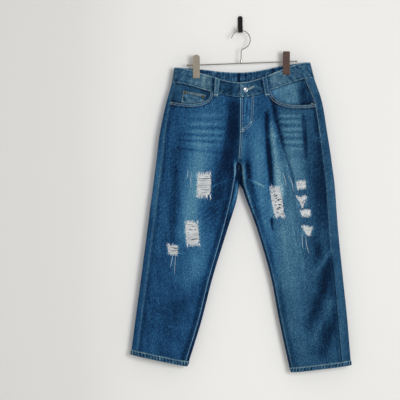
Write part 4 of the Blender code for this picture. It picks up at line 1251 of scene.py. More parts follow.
@dataclass
class Threads:
    """Many short threads kept together as one piece."""

    name: str
    radius: float = 0.00035
    runs: list[tuple[list[Vector], list[float]]] = field(default_factory=list)

    def add(self, places: Sequence[Vector], thickness: Optional[Sequence[float]] = None) -> None:
        """Adds one thread along places, with a share of the full thickness at each."""
        self.runs.append((list(places), list(thickness or [1.0] * len(places))))

    def stitch(self, spots: Sequence[Spot], length: float = 0.0028, gap: float = 0.0010) -> None:
        """Sews along a line: each stitch rises out of the cloth and dips back into it.

        Args:
            spots: The line's spots.
            length: A stitch's length.
            gap: The gap between two.
        """
        if len(spots) < 2:
            return
        reach = [0.0]
        for a, b in zip(spots, spots[1:]):
            reach.append(reach[-1] + (b.place - a.place).length)

        def at(distance: float, lift: float) -> Vector:
            """Finds the place at a distance along the line.

            Args:
                distance: How far along.
                lift: How far off the cloth.

            Returns:
                The place.
            """
            index = int(np.searchsorted(reach, distance)) - 1
            index = min(max(index, 0), len(spots) - 2)
            span = max(reach[index + 1] - reach[index], 1e-9)
            share = (distance - reach[index]) / span
            place = spots[index].place.lerp(spots[index + 1].place, share)
            return place + spots[index].normal * lift

        start = 0.0
        while start + length <= reach[-1]:
            self.add([at(start, -0.0002), at(start + length / 2, 0.00025), at(start + length, -0.0002)])
            start += length + gap

    def zigzag(self, spots: Sequence[Spot], width: float, pitch: float = 0.0007) -> None:
        """Fills a short bar with threads across it.

        Args:
            spots: The bar's spots.
            width: The bar's width.
            pitch: The step between threads.
        """
        for first, last in zip(spots, spots[1:]):
            along = (last.place - first.place).normalized()
            beside = along.cross(first.normal).normalized() * width / 2
            count = max(int((last.place - first.place).length / pitch), 1)
            for i in range(count):
                middle = first.place.lerp(last.place, i / count)
                lean = beside if i % 2 else -beside
                self.add([middle - lean, middle + first.normal * 0.0003, middle + lean + along * pitch])

    def build(self, material: Paint, slot: str, nodes: Sequence[str] = ()) -> Item:
        """Makes the piece and settles it.

        Args:
            material: The yarn.
            slot: Handed on to settle.
            nodes: The solids that it stands for.

        Returns:
            The finished piece.
        """
        curve = bpy.data.curves.new(self.name, "CURVE")
        curve.dimensions = "3D"
        curve.bevel_depth = self.radius
        curve.bevel_resolution = 0
        curve.use_fill_caps = True
        for places, thickness in self.runs:
            spline = curve.splines.new("POLY")
            spline.points.add(len(places) - 1)
            spline.use_smooth = True
            for point, place, share in zip(spline.points, places, thickness):
                point.co = (*place, 1.0)
                point.radius = share
        item = make_object(self.name, curve, material)
        return settle(item, slot, nodes)


@dataclass
class Sewing:
    """The garment's stitches, gathered by the colour of their thread."""

    tan: Threads = field(default_factory=lambda: Threads("stitches_tan", radius=0.00052))
    pale: Threads = field(default_factory=lambda: Threads("stitches_pale", radius=0.00050))
    faded: Threads = field(default_factory=lambda: Threads("stitches_faded", radius=0.00040))

    def build(self, finishes: Finishes) -> None:
        """Makes one piece of each colour.

        Args:
            finishes: The garment's materials.
        """
        self.tan.build(finishes.tan, "denim_band")
        self.pale.build(finishes.pale, "denim_band")
        self.faded.build(finishes.faded, "denim")
        counts = [len(threads.runs) for threads in (self.tan, self.pale, self.faded)]
        LOG.info("sewing: %d tan, %d pale and %d faded stitches", *counts)


def seam_line(side: Side, downs: Values, turns: Values, lift: float) -> list[Spot]:
    """A line over the form itself, by distances down and turns.

    Args:
        side: Whose leg.
        downs: Distances down.
        turns: The turn at each.
        lift: How far off the form.

    Returns:
        The line's spots.
    """
    small = 0.002
    here = FORM.points(side, downs, turns)
    after = np.minimum(downs + small, HEM_END)
    below = FORM.points(side, after, turns) - FORM.points(side, downs - small, turns)
    before = np.maximum(turns - 0.01, -1.0)
    beside = FORM.points(side, downs, turns + 0.01) - FORM.points(side, downs, before)
    normal = -side * np.cross(beside, below)
    normal /= np.linalg.norm(normal, axis=-1, keepdims=True)
    return [Spot(Vector(p + n * lift), Vector(n)) for p, n in zip(here, normal)]


# --- rips


@dataclass(frozen=True)
class Rip:
    """A place worn through a front: its middle, its size and its lean.

    Each slit between its threads has X and Z off the rip's middle, half a width and height and
    a slope.
    The foot's width is a share of the top's, and the tilt lifts its left end.
    """

    label: str
    side: Side
    x: float
    z: float
    width: float
    height: float
    lean: float
    fill: float = 1.0
    crossing: float = 0.10
    slits: tuple[tuple[float, float, float, float, float], ...] = ()
    foot_share: float = 1.0
    tilt: float = 0.0

    @property
    def node(self) -> str:
        """The name of the solid that stands for its threads."""
        return f"rip_threads_{self.label}"

    def outline(self, scale: float = 1.0, ragged: float = 0.0) -> Outline:
        """Its rounded, leaning edge.

        Args:
            scale: Its size against the nominal one.
            ragged: How uneven the edge is, in metres.

        Returns:
            The closed edge.
        """
        draw = random.Random(self.label)
        places = []
        for i in range(48):
            angle = math.tau * (i + 0.5) / 48
            c, s = math.cos(angle), math.sin(angle)
            u = math.copysign(abs(c) ** 0.5, c)
            v = math.copysign(abs(s) ** 0.5, s)
            off = draw.uniform(-ragged, ragged)
            x = self.x + u * (self.half_at(v) * scale + off) - v * self.lean / 2
            places.append((x, self.z + v * (self.height / 2 * scale + off) + u * self.tilt))
        return places

    def half_at(self, v: float) -> float:
        """Half its width at a height, from -1 at the foot to 1 at the top."""
        return self.width / 2 * (1.0 + (self.foot_share - 1.0) * (1.0 - v) / 2)


RIPS = (
    Rip(
        "right_thigh", Side.RIGHT, -0.1100, -0.4830, 0.041, 0.064, -0.002, 0.86, 0.08,
        slits=(
            (0.006, 0.026, 0.009, 0.0007, 0.05), (0.003, -0.022, 0.013, 0.0008, -0.05),
            (-0.004, 0.013, 0.010, 0.0004, 0.0),
        ),
    ),
    Rip(
        "right_knee", Side.RIGHT, -0.1455, -0.6275, 0.039, 0.065, 0.004, 0.94, 0.08,
        slits=(
            (0.004, 0.0205, 0.014, 0.0012, -0.08), (-0.004, 0.0115, 0.0034, 0.0021, 0.0),
            (0.0120, 0.0115, 0.0036, 0.0021, 0.2), (0.003, -0.0180, 0.011, 0.0016, 0.28),
        ),
    ),
    Rip(
        "right_knee_side", Side.RIGHT, -0.2035, -0.6770, 0.032, 0.024, 0.002, 0.80, 0.40,
        slits=((0.002, 0.006, 0.009, 0.0014, -0.15), (-0.004, -0.003, 0.006, 0.0010, -0.3)),
        foot_share=0.85, tilt=-0.002,
    ),
    Rip(
        "left_thigh", Side.LEFT, 0.1090, -0.5330, 0.031, 0.084, 0.014, 0.80, 0.35,
        slits=(
            (-0.0085, 0.031, 0.0040, 0.0030, -0.7), (-0.0050, 0.020, 0.0050, 0.0034, -0.6),
            (-0.0080, 0.016, 0.0030, 0.0022, 0.6), (0.0010, 0.008, 0.0042, 0.0034, -0.8),
            (-0.0060, -0.001, 0.0024, 0.0020, 0.4), (0.0070, -0.010, 0.0046, 0.0032, 0.4),
            (-0.0010, -0.012, 0.0036, 0.0024, -0.4), (0.0080, -0.018, 0.0050, 0.0032, -0.3),
            (0.0005, -0.022, 0.0050, 0.0032, 0.6), (-0.0010, -0.031, 0.0036, 0.0024, -0.6),
        ),
    ),
    Rip(
        "left_upper", Side.LEFT, 0.1808, -0.4820, 0.029, 0.019, 0.001, 1.0, 0.2,
        slits=((0.003, -0.0080, 0.008, 0.0008, 0.0),), foot_share=0.85, tilt=0.0025,
    ),
    Rip(
        "left_middle", Side.LEFT, 0.1835, -0.5325, 0.029, 0.027, 0.003, 0.95, 0.4,
        slits=((0.0045, 0.0010, 0.0030, 0.0026, 1.6), (0.0015, -0.0060, 0.0024, 0.0024, 1.6)),
        foot_share=0.18,
    ),
    Rip(
        "left_lower", Side.LEFT, 0.1945, -0.5665, 0.031, 0.015, 0.002, 1.0, 0.2,
        slits=((-0.002, -0.0040, 0.008, 0.0010, 0.1),), foot_share=0.85,
    ),
    Rip(
        "left_knee", Side.LEFT, 0.2010, -0.6200, 0.031, 0.023, 0.003, 0.95, 0.5,
        slits=((0.003, 0.002, 0.006, 0.0009, 0.3),), foot_share=0.40,
    ),
)


def rips_on(side: Side) -> list[Rip]:
    """The rips of one leg."""
    return [rip for rip in RIPS if rip.side == side]


@dataclass
class RipThreads:
    """The white weft left across a rip and the fray round it."""

    rip: Rip
    probe: Probe
    sink: float = 0.0009
    spacing: float = 0.00098
    reach: float = 0.0026

    def place(self, x: float, z: float, lift: float) -> Vector:
        """A place at x and z, off the front's face."""
        found = self.probe.place(x, z, Face.FRONT, lift)
        return found[0] if found else Vector((x, HANG_Y, z))

    def parted(self, x: float, z: float) -> float:
        """The height of a thread's point once the slits have pushed it aside.

        Args:
            x: Across, in metres.
            z: Up, in metres.

        Returns:
            The new height.
        """
        for slit_x, slit_z, half_width, half_height, slope in self.rip.slits:
            across = 1.0 - ((x - self.rip.x - slit_x) / half_width) ** 2
            if across > 0:
                off = z - self.rip.z - slit_z - slope * (x - self.rip.x - slit_x)
                push = half_height * math.sqrt(across) * math.exp(-((off / (2.4 * half_height)) ** 2))
                z += math.copysign(push, off)
        return z

    def weft(self, threads: Threads, draw: random.Random, lift: float, fill: float) -> None:
        """Lays one layer of wavy weft across the hole.

        Args:
            threads: Where they are gathered.
            draw: The source of their unevenness.
            lift: How far off the face the layer lies.
            fill: The share of threads that is left.
        """
        rip = self.rip
        top, foot = rip.z + rip.height / 2, rip.z - rip.height / 2
        count = int(rip.height / self.spacing)
        for i in range(count):
            if draw.random() > fill:
                continue
            z = top + (foot - top) * (i + draw.uniform(-0.3, 0.3)) / count
            middle = rip.x - (z - rip.z) / (rip.height / 2) * rip.lean / 2
            half = rip.half_at((z - rip.z) / (rip.height / 2)) + self.reach
            drift = draw.gauss(0, rip.crossing * rip.height * 0.15)
            sag = draw.uniform(-0.0012, 0.0006)
            depth = self.sink * draw.uniform(-0.4, 1.0)
            places = []
            for step in range(9):
                u = step / 4 - 1
                bow = 1 - u * u
                z_here = z + (drift + rip.tilt) * u + sag * bow + draw.uniform(-0.0003, 0.0003)
                z_here = self.parted(middle + u * half, z_here)
                z_here = min(max(z_here, foot - 0.001 + rip.tilt * u), top + 0.001 + rip.tilt * u)
                places.append(self.place(middle + u * half, z_here, lift - depth * bow))
            threads.add(places, [draw.uniform(0.8, 1.2)] * 9)

    def fray(self, threads: Threads, draw: random.Random) -> None:
        """Adds the short broken ends all round the hole.

        Args:
            threads: Where they are gathered.
            draw: The source of their unevenness.
        """
        rip = self.rip
        top, foot = rip.z + rip.height / 2, rip.z - rip.height / 2
        size = min(1.0, 0.35 + rip.height / 0.06)
        for level, way in ((top, 1), (foot, -1)):
            half = rip.half_at(way)
            for _ in range(max(int(half / 0.0006), 6)):
                share = draw.uniform(-1.04, 1.04)
                x = rip.x - way * rip.lean / 2 + share * half
                edge_z = level + share * rip.tilt
                length = size * (abs(draw.gauss(0.0045, 0.0028)) + 0.0012)
                lean = draw.uniform(-0.0045, 0.0045)
                curl = draw.uniform(-0.002, 0.002)
                start = self.place(x, edge_z - way * 0.0025, -0.0004)
                middle = self.place(x + lean * 0.4 + curl, edge_z + way * length * 0.55, 0.0011)
                end = self.place(x + lean, edge_z + way * length, 0.0007)
                threads.add([start, middle, end], [1.0, 0.85, 0.4])
        for way in (-1, 1):
            for _ in range(int(rip.height / 0.0042)):
                z = draw.uniform(foot, top)
                v = (z - rip.z) / (rip.height / 2)
                x = rip.x + way * rip.half_at(v) - v * rip.lean / 2
                length = abs(draw.gauss(0.0010, 0.0012)) + 0.0006
                start = self.place(x - way * 0.003, z, -0.0006)
                end = self.place(x + way * length, z + draw.uniform(-0.003, 0.003), 0.0007)
                threads.add([start, end], [1.0, 0.4])

    def build(self, finishes: Finishes) -> Item:
        """Makes the threads as one piece.

        Args:
            finishes: The garment's materials.

        Returns:
            The finished piece.
        """
        draw = random.Random(self.rip.label + "weft")
        threads = Threads(f"loose_threads_{self.rip.label}", radius=0.00056)
        self.weft(threads, draw, -0.0022, self.rip.fill)
        self.weft(threads, draw, -0.0009, self.rip.fill * 0.72)
        self.fray(threads, draw)
        return threads.build(finishes.white, "rip_thread", [self.rip.node])


# --- pockets' outlines


@dataclass(frozen=True)
class HipPocket:
    """A curved hip pocket mouth below the band."""

    side: Side
    start: float
    drop: float
    roundness: float

    def outline(self, grow: float = 0.0, count: int = 40, closed: bool = True) -> Outline:
        """The mouth's edge.

        Args:
            grow: How far outside the mouth.
            count: Its number of points.
            closed: Whether to carry it on round above the band.

        Returns:
            The edge from the band to the side.
        """
        start = self.start - self.side * grow
        end = FORM.section(self.side, np.array(BAND_END + self.drop))
        band = FORM.section(self.side, np.array(BAND_END))
        side_x = float(end["outer_x"])
        top = float(band_seam_z(self.side, np.array([start]))[0])
        places = []
        for i in range(count):
            angle = math.pi / 2 * i / (count - 1)
            share = 1.0 - math.cos(angle) ** (2 / self.roundness)
            fall = (self.drop + grow) * math.sin(angle) ** (2 / self.roundness)
            x = start + (side_x - start) * share
            places.append((x, top + (float(band["outer_z"]) - top) * share - fall))
        if closed:
            far_x = side_x + self.side * 0.03
            places += [(far_x, places[-1][1]), (far_x, top + 0.09), (start, top + 0.09)]
        return places

    def distance(self, x: Values, z: Values) -> Values:
        """How far points are from the mouth's edge."""
        return away_from(self.outline(count=70, closed=False), x, z)


HIP_POCKETS = {
    Side.RIGHT: HipPocket(Side.RIGHT, -0.0915, 0.0545, 2.4),
    Side.LEFT: HipPocket(Side.LEFT, 0.0920, 0.0735, 2.0),
}


def band_seam_z(side: Side, x: Values) -> Values:
    """Height of the front's band seam at x."""
    down = np.full(np.shape(x), BAND_END)
    return FORM.points(side, down, -FORM.turn_at_x(side, down, x))[..., 2]


# --- panels


@dataclass
class Needlework:
    """What every cut and sewn part of the garment is given."""

    finishes: Finishes
    sewing: Sewing


@dataclass
class Fronts(Needlework):
    """Both fronts with their rips, their facings and the coin pocket."""

    rows: int = 330
    columns: int = 116
    facing_rows: int = 71
    facing_columns: int = 84
    under_fly: float = 0.009
    seam_gap: float = 0.0003
    inseam_gap: float = 0.0008

    def grid(self, side: Side) -> Grid:
        """The points of one front, from the band seam to the hem.

        Args:
            side: Whose leg.

        Returns:
            The grid.
        """
        downs = np.linspace(BAND_END + self.seam_gap, HEM_START, self.rows)
        downs = np.sort(np.append(downs, CROTCH))
        row = FORM.section(side, downs)
        first = FORM.turn_at_inset(side, downs, row["side_inset"] + self.seam_gap)
        inset = np.where(downs >= CROTCH, row["inseam_inset"] + self.inseam_gap / 2, 0.0)
        turns = spread(first, FORM.turn_at_inner(side, downs, inset), self.columns)
        points = FORM.points(side, downs[:, None], -turns)
        if side == Side.RIGHT:
            reach = self.under_fly * smooth((CROTCH - downs) / 0.05)
            tail = np.repeat(points[:, -1:], 4, axis=1)
            tail[..., 0] += reach[:, None] * np.linspace(0.25, 1.0, 4)[None, :]
            points = np.concatenate([points, tail], axis=1)
        return Grid(points)

    def seam_relief(self, grid: Grid) -> Values:
        """How the cloth stands up along its felled side seam and inseam.

        Args:
            grid: The front.

        Returns:
            How far each point rises.
        """
        x, z = grid.x, grid.z
        edge = np.abs(x - x[:, :1])
        pucker = 0.5 + 0.5 * ripple(z * 6, z * 0, 0.05, 21)
        rise = 0.0007 * bell(edge - 0.004, 0.004) * (0.5 + pucker)
        inner = np.abs(x - x[:, -1:])
        leg = smooth((-0.41 - z) / 0.02)
        return rise + 0.0006 * bell(inner - 0.003, 0.003) * (0.5 + pucker) * leg

    def wear_and_shade(self, side: Side, grid: Grid) -> Values:
        """The dye's wear on one front, with painted shade beside the seams and under the band.

        Args:
            side: Whose leg.
            grid: The front.

        Returns:
            The wear and painted shade at each point.
        """
        x, z = grid.x, grid.z
        wear_and_shade = WASH_AND_SHADE.at(grid.points, Face.FRONT)
        edge = np.abs(x - x[:, :1])
        beat = ripple(z * 3.0, z * 0 + x, 0.04, 5)
        fold = bell(edge - 0.001, 0.0024)
        calf = smooth((-0.660 - z) / 0.08) if side == Side.LEFT else 0.0
        # A pale worn edge along the side fold; below the left knee the fold is dark instead, partly as
        # painted shade
        wear_and_shade += (0.20 + 0.14 * beat) * fold * (1.0 - calf) - 0.26 * fold * calf
        # Darker a little in from the side seam, partly as painted shade in the seam's groove
        wear_and_shade -= 0.12 * bell(edge - 0.009, 0.006)
        inner = np.abs(x - x[:, -1:])
        leg = smooth((-0.405 - z) / 0.02)
        wear_and_shade += (0.20 + 0.10 * beat) * bell(inner - 0.001, 0.0022) * leg
        # Darker a little in from the inseam, partly as painted shade beside it
        wear_and_shade -= (0.20 if side == Side.RIGHT else 0.14) * bell(inner - 0.011, 0.007) * leg
        if side == Side.LEFT:
            fly = 1.0 - leg
            line = np.interp(-z, (0.220, 0.344, 0.410), (-0.0010, -0.0020, -0.0062))
            wear_and_shade += 0.46 * bell(x - line, 0.0022) * fly
            dashes = 0.5 + 0.5 * np.sin(z * math.tau / 0.0055)
            wear_and_shade -= 0.26 * dashes * bell(x - line - 0.0055, 0.0016) * fly
            placket = bell(x - 0.016, 0.012) * smooth((z + 0.33) / 0.03)
            wear_and_shade += placket * (0.08 + 0.17 * ripple(x * 3, z * 0.6, 0.030, 8))
        # Painted shadow in dashes under the band's foot, with a paler line below it
        seam = grid.map()[..., 1]
        dashes = 0.6 + 0.4 * np.sin(x * math.tau / 0.0060)
        wear_and_shade -= 0.24 * dashes * bell(seam - 0.0016, 0.0022)
        wear_and_shade += 0.10 * bell(seam - 0.0060, 0.0022)
        mouth = HIP_POCKETS[side]
        away = mouth.distance(x, z)
        beads = 0.7 + 0.5 * ripple(x, z, 0.0075, 63)
        wear_and_shade += 0.22 * beads * bell(away - 0.0052, 0.0024)
        wear_and_shade -= 0.28 * beads * bell(away - 0.0122, 0.0030)
        for rip in rips_on(side):
            across = np.abs(x - rip.x) / (rip.width / 2 + 0.004)
            up = np.abs(z - rip.z) / (rip.height / 2 + 0.004)
            wear_and_shade += 0.22 * np.exp(-np.maximum(across, up) ** 8)
        return wear_and_shade

    def build(self) -> Probe:
        """Makes both fronts and what lies behind their mouths and rips.

        Returns:
            A probe over both fronts, uncut.
        """
        trees = []
        for side in Side:
            grid = self.grid(side)
            wear_and_shade = self.wear_and_shade(side, grid)
            grid = grid.moved(self.seam_relief(grid))
            probe = grid.probe()
            trees += probe.trees
            mouth = HIP_POCKETS[side]
            cuts = [(mouth.outline(), False)]
            loose = []
            for rip in rips_on(side):
                cuts.append((rip.outline(ragged=0.0008), False))
                loose.append(RipThreads(rip, probe).build(self.finishes))
            name = f"front_{LABEL[side]}"
            sheet = Sheet(f"jeans_{name}", grid, wear_and_shade, cuts=cuts)
            item = settle(sheet.build(self.finishes.denim, self.finishes.inside), "denim", [name])
            self.add_facing(side, grid, mouth)
            LOG.info("%s: %d points, %d rips", item.name, grid.x.size, len(loose))
        return Probe(trees)

    def add_facing(self, side: Side, grid: Grid, mouth: HipPocket) -> None:
        """The facing behind a pocket's mouth, and on the right the coin pocket.

        Args:
            side: Whose leg.
            grid: The front.
            mouth: The pocket.
        """
        rows, columns = slice(self.facing_rows), slice(self.facing_columns)
        share = shares(grid.points.shape[1]).T
        end_z = mouth.outline(closed=False)[-1][1]
        flush = (1.0 - smooth(share / 0.05)) * smooth((grid.z - end_z) / 0.006)
        behind = Grid(grid.moved((-DENIM_WALL - 0.0004) * (1.0 - flush)).points[rows, columns])
        x, z = behind.x, behind.z
        wear_and_shade = WASH_AND_SHADE.base + ripple(x, z, 0.03, 17) * 0.05
        if side == Side.LEFT:
            edge_x = 0.177 + 0.04 * (z + 0.200)
            wear_and_shade += 0.08 + 0.23 * smooth((edge_x - x) / 0.010) + 0.05 * ripple(x, z * 0.2, 0.012, 19)
            # Painted shade deeper inside the gaping pocket, towards the side
            wear_and_shade -= 0.26 * smooth((x - edge_x + 0.003) / 0.012)
        else:
            # Painted shadow towards the side seam
            wear_and_shade -= 0.10 * smooth((-0.196 - x) / 0.010)
        # Painted shadow along the mouth's edge, and under the band's foot
        wear_and_shade -= 0.18 * bell(mouth.distance(x, z), 0.006)
        wear_and_shade -= 0.26 * bell(behind.map()[..., 1], 0.0035)
        name = f"pocket_facing_{LABEL[side]}"
        outside = self.finishes.denim if side == Side.LEFT else self.finishes.facing
        sheet = Sheet(f"jeans_{name}", behind, wear_and_shade, POCKET_WALL, [(mouth.outline(0.014), True)])
        item = settle(sheet.build(outside, self.finishes.inside), "denim_facing", [name])
        if side == Side.RIGHT:
            CoinPocket(self.finishes, self.sewing).build(grid, rows, columns, mouth)


@dataclass
class CoinPocket(Needlework):
    """The small pocket inside the right hip pocket's mouth, with a rivet at each corner."""

    left_x: float = -0.1740
    right_x: float = -0.1060
    top_drops: tuple[float, float] = (0.0200, 0.0140)
    rivet_inset: float = 0.0066

    def build(self, grid: Grid, rows: slice, columns: slice, mouth: HipPocket) -> None:
        """Makes the pocket on the facing.

        Args:
            grid: The right front.
            rows: The rows it may use.
            columns: The columns it may use.
            mouth: The hip pocket around it.
        """
        over = Grid(grid.moved(POCKET_WALL - DENIM_WALL + 0.0002).points[rows, columns])
        tops = band_seam_z(Side.RIGHT, np.array([self.left_x, self.right_x])) - np.array(self.top_drops)
        top_left, top_right = float(tops[0]), float(tops[1])
        foot = top_right - mouth.drop + self.top_drops[1] / 2
        outline = [(self.left_x, top_left), (self.right_x, top_right)]
        outline += [(self.right_x + 0.003, foot), (self.left_x - 0.006, foot)]
        x, z = over.x, over.z
        top_line = top_left + (top_right - top_left) * (x - self.left_x) / (self.right_x - self.left_x)
        wear_and_shade = WASH_AND_SHADE.base + 0.17 + ripple(x, z, 0.012, 27) * 0.18
        wear_and_shade += 0.20 * bell(z - top_line, 0.0022) - 0.10 * bell(z - top_line + 0.008, 0.003)
        wear_and_shade -= 0.16 * bell(x - self.left_x - 0.004, 0.005)
        cuts = [(outline, True), (mouth.outline(-0.0012), True)]
        sheet = Sheet("jeans_coin_pocket", over, wear_and_shade, POCKET_WALL, cuts)
        item = settle(sheet.build(self.finishes.band, self.finishes.inside), "denim_facing", ["coin_pocket"])
        probe = over.probe()
        tan = self.sewing.tan
        for inset in (0.0022, 0.0062):
            line = [(self.left_x + 0.003, top_left - inset), (self.right_x - 0.003, top_right - inset)]
            tan.stitch(probe.line(line, Face.FRONT))
        side_line = [(self.left_x + 0.0022, top_left - 0.003), (self.left_x - 0.002, foot + 0.022)]
        tan.stitch(probe.line(side_line, Face.FRONT))
        corners = (("outer", self.left_x, top_left, 1), ("inner", self.right_x, top_right, -1))
        for label, x0, z0, way in corners:
            found = probe.place(x0 + way * self.rivet_inset, z0 - self.rivet_inset, Face.FRONT, 0.0001)
            if found:
                Stud(f"coin_rivet_{label}", 0.0042, 0.0014).build(*found, self.finishes.rivet, "rivet_metal")


@dataclass
class Stud:
    """A small turned piece that stands on the cloth: a rivet's cap or a button."""

    node: str
    radius: float
    height: float
    dish: float = 0.0
    around: int = 32

    def build(self, place: Vector, normal: Vector, material: Paint, slot: str) -> Item:
        """Turns its profile and sets it on the cloth.

        Args:
            place: The middle of its base.
            normal: Its axis.
            material: Its finish.
            slot: Handed on to settle.

        Returns:
            The piece.
        """
        profile = (
            (0.0, 1.0 - self.dish), (0.45, 1.0 - self.dish * 0.8), (0.62, 1.0 - self.dish * 0.2),
            (0.74, 1.0), (0.90, 0.90), (1.0, 0.60), (0.97, 0.20), (0.80, 0.0), (0.0, 0.0),
        )
        bm = bmesh.new()
        verts = [bm.verts.new((self.radius * out, 0.0, self.height * up)) for out, up in profile]
        edges = [bm.edges.new(pair) for pair in zip(verts, verts[1:])]
        geom = verts + edges
        bmesh.ops.spin(bm, geom=geom, axis=(0, 0, 1), angle=math.tau, steps=self.around, use_merge=True)
        bmesh.ops.remove_doubles(bm, verts=bm.verts, dist=1e-6)
        bmesh.ops.recalc_face_normals(bm, faces=bm.faces)
        turn = normal.to_track_quat("Z", "Y").to_matrix().to_4x4()
        bmesh.ops.transform(bm, matrix=Matrix.Translation(place) @ turn, verts=bm.verts)
        for face in bm.faces:
            face.smooth = True
        name = f"turned_{self.node}"
        return settle(make_object(name, mesh_of(bm, name), material), slot, [self.node])


@dataclass
class Backs(Needlework):
    """Both backs, their yokes and patch pockets."""

    rows: int = 230
    columns: int = 110
    seam_gap: float = 0.0003
    inseam_gap: float = 0.0008
    pocket_width: float = 0.136
    pocket_height: float = 0.150
    pocket_point: float = 0.022
    pocket_top: float = -0.2700
    pocket_x: tuple[float, float] = (-0.1210, 0.1270)

    def turns(self, side: Side, downs: Values) -> Values:
        """Turns across a back at distances down, from the side seam to the centre or inseam.

        Args:
            side: Whose leg.
            downs: Distances down.

        Returns:
            Rows of turns.
        """
        row = FORM.section(side, downs)
        first = -FORM.turn_at_inset(side, downs, row["side_inset"] - self.seam_gap)
        inset = np.maximum(row["inseam_inset"] - self.inseam_gap / 2, 0.0)
        last = np.where(downs > CROTCH, 2.0 - FORM.turn_at_inner(side, downs, inset), 1.0)
        return spread(first, last, self.columns)

    def back_grid(self, side: Side) -> Grid:
        """The points of one back below its yoke.

        Args:
            side: Whose leg.

        Returns:
            The grid.
        """
        downs = np.linspace(YOKE_SIDE_END + self.seam_gap, HEM_START, self.rows)
        downs = np.sort(np.append(downs, CROTCH))
        turns = self.turns(side, downs)
        bend = np.clip(CROTCH - downs, 0.0, None)[:, None] / (CROTCH - YOKE_SIDE_END)
        bent = downs[:, None] + (yoke_seam(turns) - YOKE_SIDE_END) * bend
        return Grid(FORM.points(side, bent, turns))

    def yoke_grid(self, side: Side) -> Grid:
        """The points of one yoke.

        Args:
            side: Whose leg.

        Returns:
            The grid.
        """
        first = BAND_END + self.seam_gap
        share = shares(24)
        turns = self.turns(side, first + (YOKE_SIDE_END - first) * share[:, 0])
        downs = first + (yoke_seam(turns) - first) * share
        return Grid(FORM.points(side, downs, turns))

    def wear_and_shade(self, grid: Grid, seam: float) -> Values:
        """The dye's wear, paler along the side seam and the top seam, with painted shade near the inseam and
        behind the crotch.

        Args:
            grid: The back or yoke.
            seam: How much paler its top seam is.

        Returns:
            The wear and painted shade at each point.
        """
        x, z = grid.x, grid.z
        wear_and_shade = WASH_AND_SHADE.at(grid.points)
        wear_and_shade += 0.16 * bell(np.abs(x - x[:, :1]), 0.0025)
        # Painted shade near the inseam down the legs, and deep painted shade in the slot behind the crotch,
        # with a paler line beside it
        leg = smooth((CROTCH_Z - 0.120 - z) / 0.03)
        inner = np.abs(x - x[:, -1:])
        wear_and_shade -= 0.22 * bell(inner, 0.016, 4) * leg
        slot = smooth((CROTCH_Z - 0.030 - z) / 0.02) * (1.0 - leg)
        wear_and_shade -= 0.30 * bell(inner, 0.0075, 4) * slot
        wear_and_shade += 0.06 * bell(inner - 0.0120, 0.0035) * slot
        return wear_and_shade + seam * bell(grid.map()[:, :1, 1], 0.003)

    def pocket_outline(self, side: Side, inset: float = 0.0) -> Outline:
        """A patch pocket's edge: a shield with a pointed foot.

        Args:
            side: Whose leg.
            inset: How far inside the edge.

        Returns:
            The closed edge.
        """
        x = self.pocket_x[0 if side == Side.RIGHT else 1]
        half, foot = self.pocket_width / 2 - inset, self.pocket_width * 0.42 - inset
        top, tilt = self.pocket_top - inset, side * 0.006
        low = self.pocket_top - self.pocket_height + inset
        return [
            (x - half, top + tilt),
            (x + half, top - tilt),
            (x + foot, low + self.pocket_point - tilt),
            (x, low),
            (x - foot, low + self.pocket_point + tilt),
        ]

    def build(self) -> Probe:
        """Makes the backs, yokes and pockets.

        Returns:
            A probe over both backs and yokes.
        """
        trees = []
        outside, lining = self.finishes.denim, self.finishes.inside
        for side in Side:
            label = LABEL[side]
            grid, yoke = self.back_grid(side), self.yoke_grid(side)
            trees += grid.probe().trees + yoke.probe().trees
            sheet = Sheet(f"jeans_back_{label}", grid, self.wear_and_shade(grid, 0.14), even=False)
            back = settle(sheet.build(outside, lining), "denim", [f"back_{label}"])
            sheet = Sheet(f"jeans_yoke_{label}", yoke, self.wear_and_shade(yoke, 0.10) + 0.04)
            item = settle(sheet.build(outside, lining), "denim", [f"yoke_{label}"])
            self.add_pocket(side, grid)
            LOG.info("back and yoke %s: %d points", label, grid.x.size)
        return Probe(trees)

    def add_pocket(self, side: Side, grid: Grid) -> None:
        """A patch pocket laid on a back, with two rows of stitches.

        Args:
            side: Whose leg.
            grid: The back.
        """
        label = LABEL[side]
        over = Grid(grid.moved(0.0003 + POCKET_WALL).points[:90, 16:])
        outline = self.pocket_outline(side)
        x, z = over.x, over.z
        ring = outline + outline[:1]
        sides = (np.linspace(start, end, 30) for start, end in zip(ring, ring[1:]))
        near = away_from(np.concatenate(list(sides)), x, z)
        wear_and_shade = WASH_AND_SHADE.at(over.points, Face.BACK) + 0.04
        wear_and_shade += 0.20 * bell(near, 0.0025) - 0.08 * bell(near - 0.006, 0.004)
        sheet = Sheet(f"jeans_back_pocket_{label}", over, wear_and_shade, POCKET_WALL, [(outline, True)])
        cloth = sheet.build(self.finishes.denim, self.finishes.inside)
        item = settle(cloth, "denim", [f"back_pocket_{label}"])
        probe = over.probe()
        for inset in (0.0022, 0.0085):
            line = self.pocket_outline(side, inset)
            self.sewing.tan.stitch(probe.line(line[1:] + line[:1], Face.BACK))
        for drop in (0.010, 0.016):
            line = self.pocket_outline(side, 0.0022)
            top = [(line[0][0] + 0.001, line[0][1] - drop), (line[1][0] - 0.001, line[1][1] - drop)]
            self.sewing.tan.stitch(probe.line(top, Face.BACK))


# --- band, loops and hems


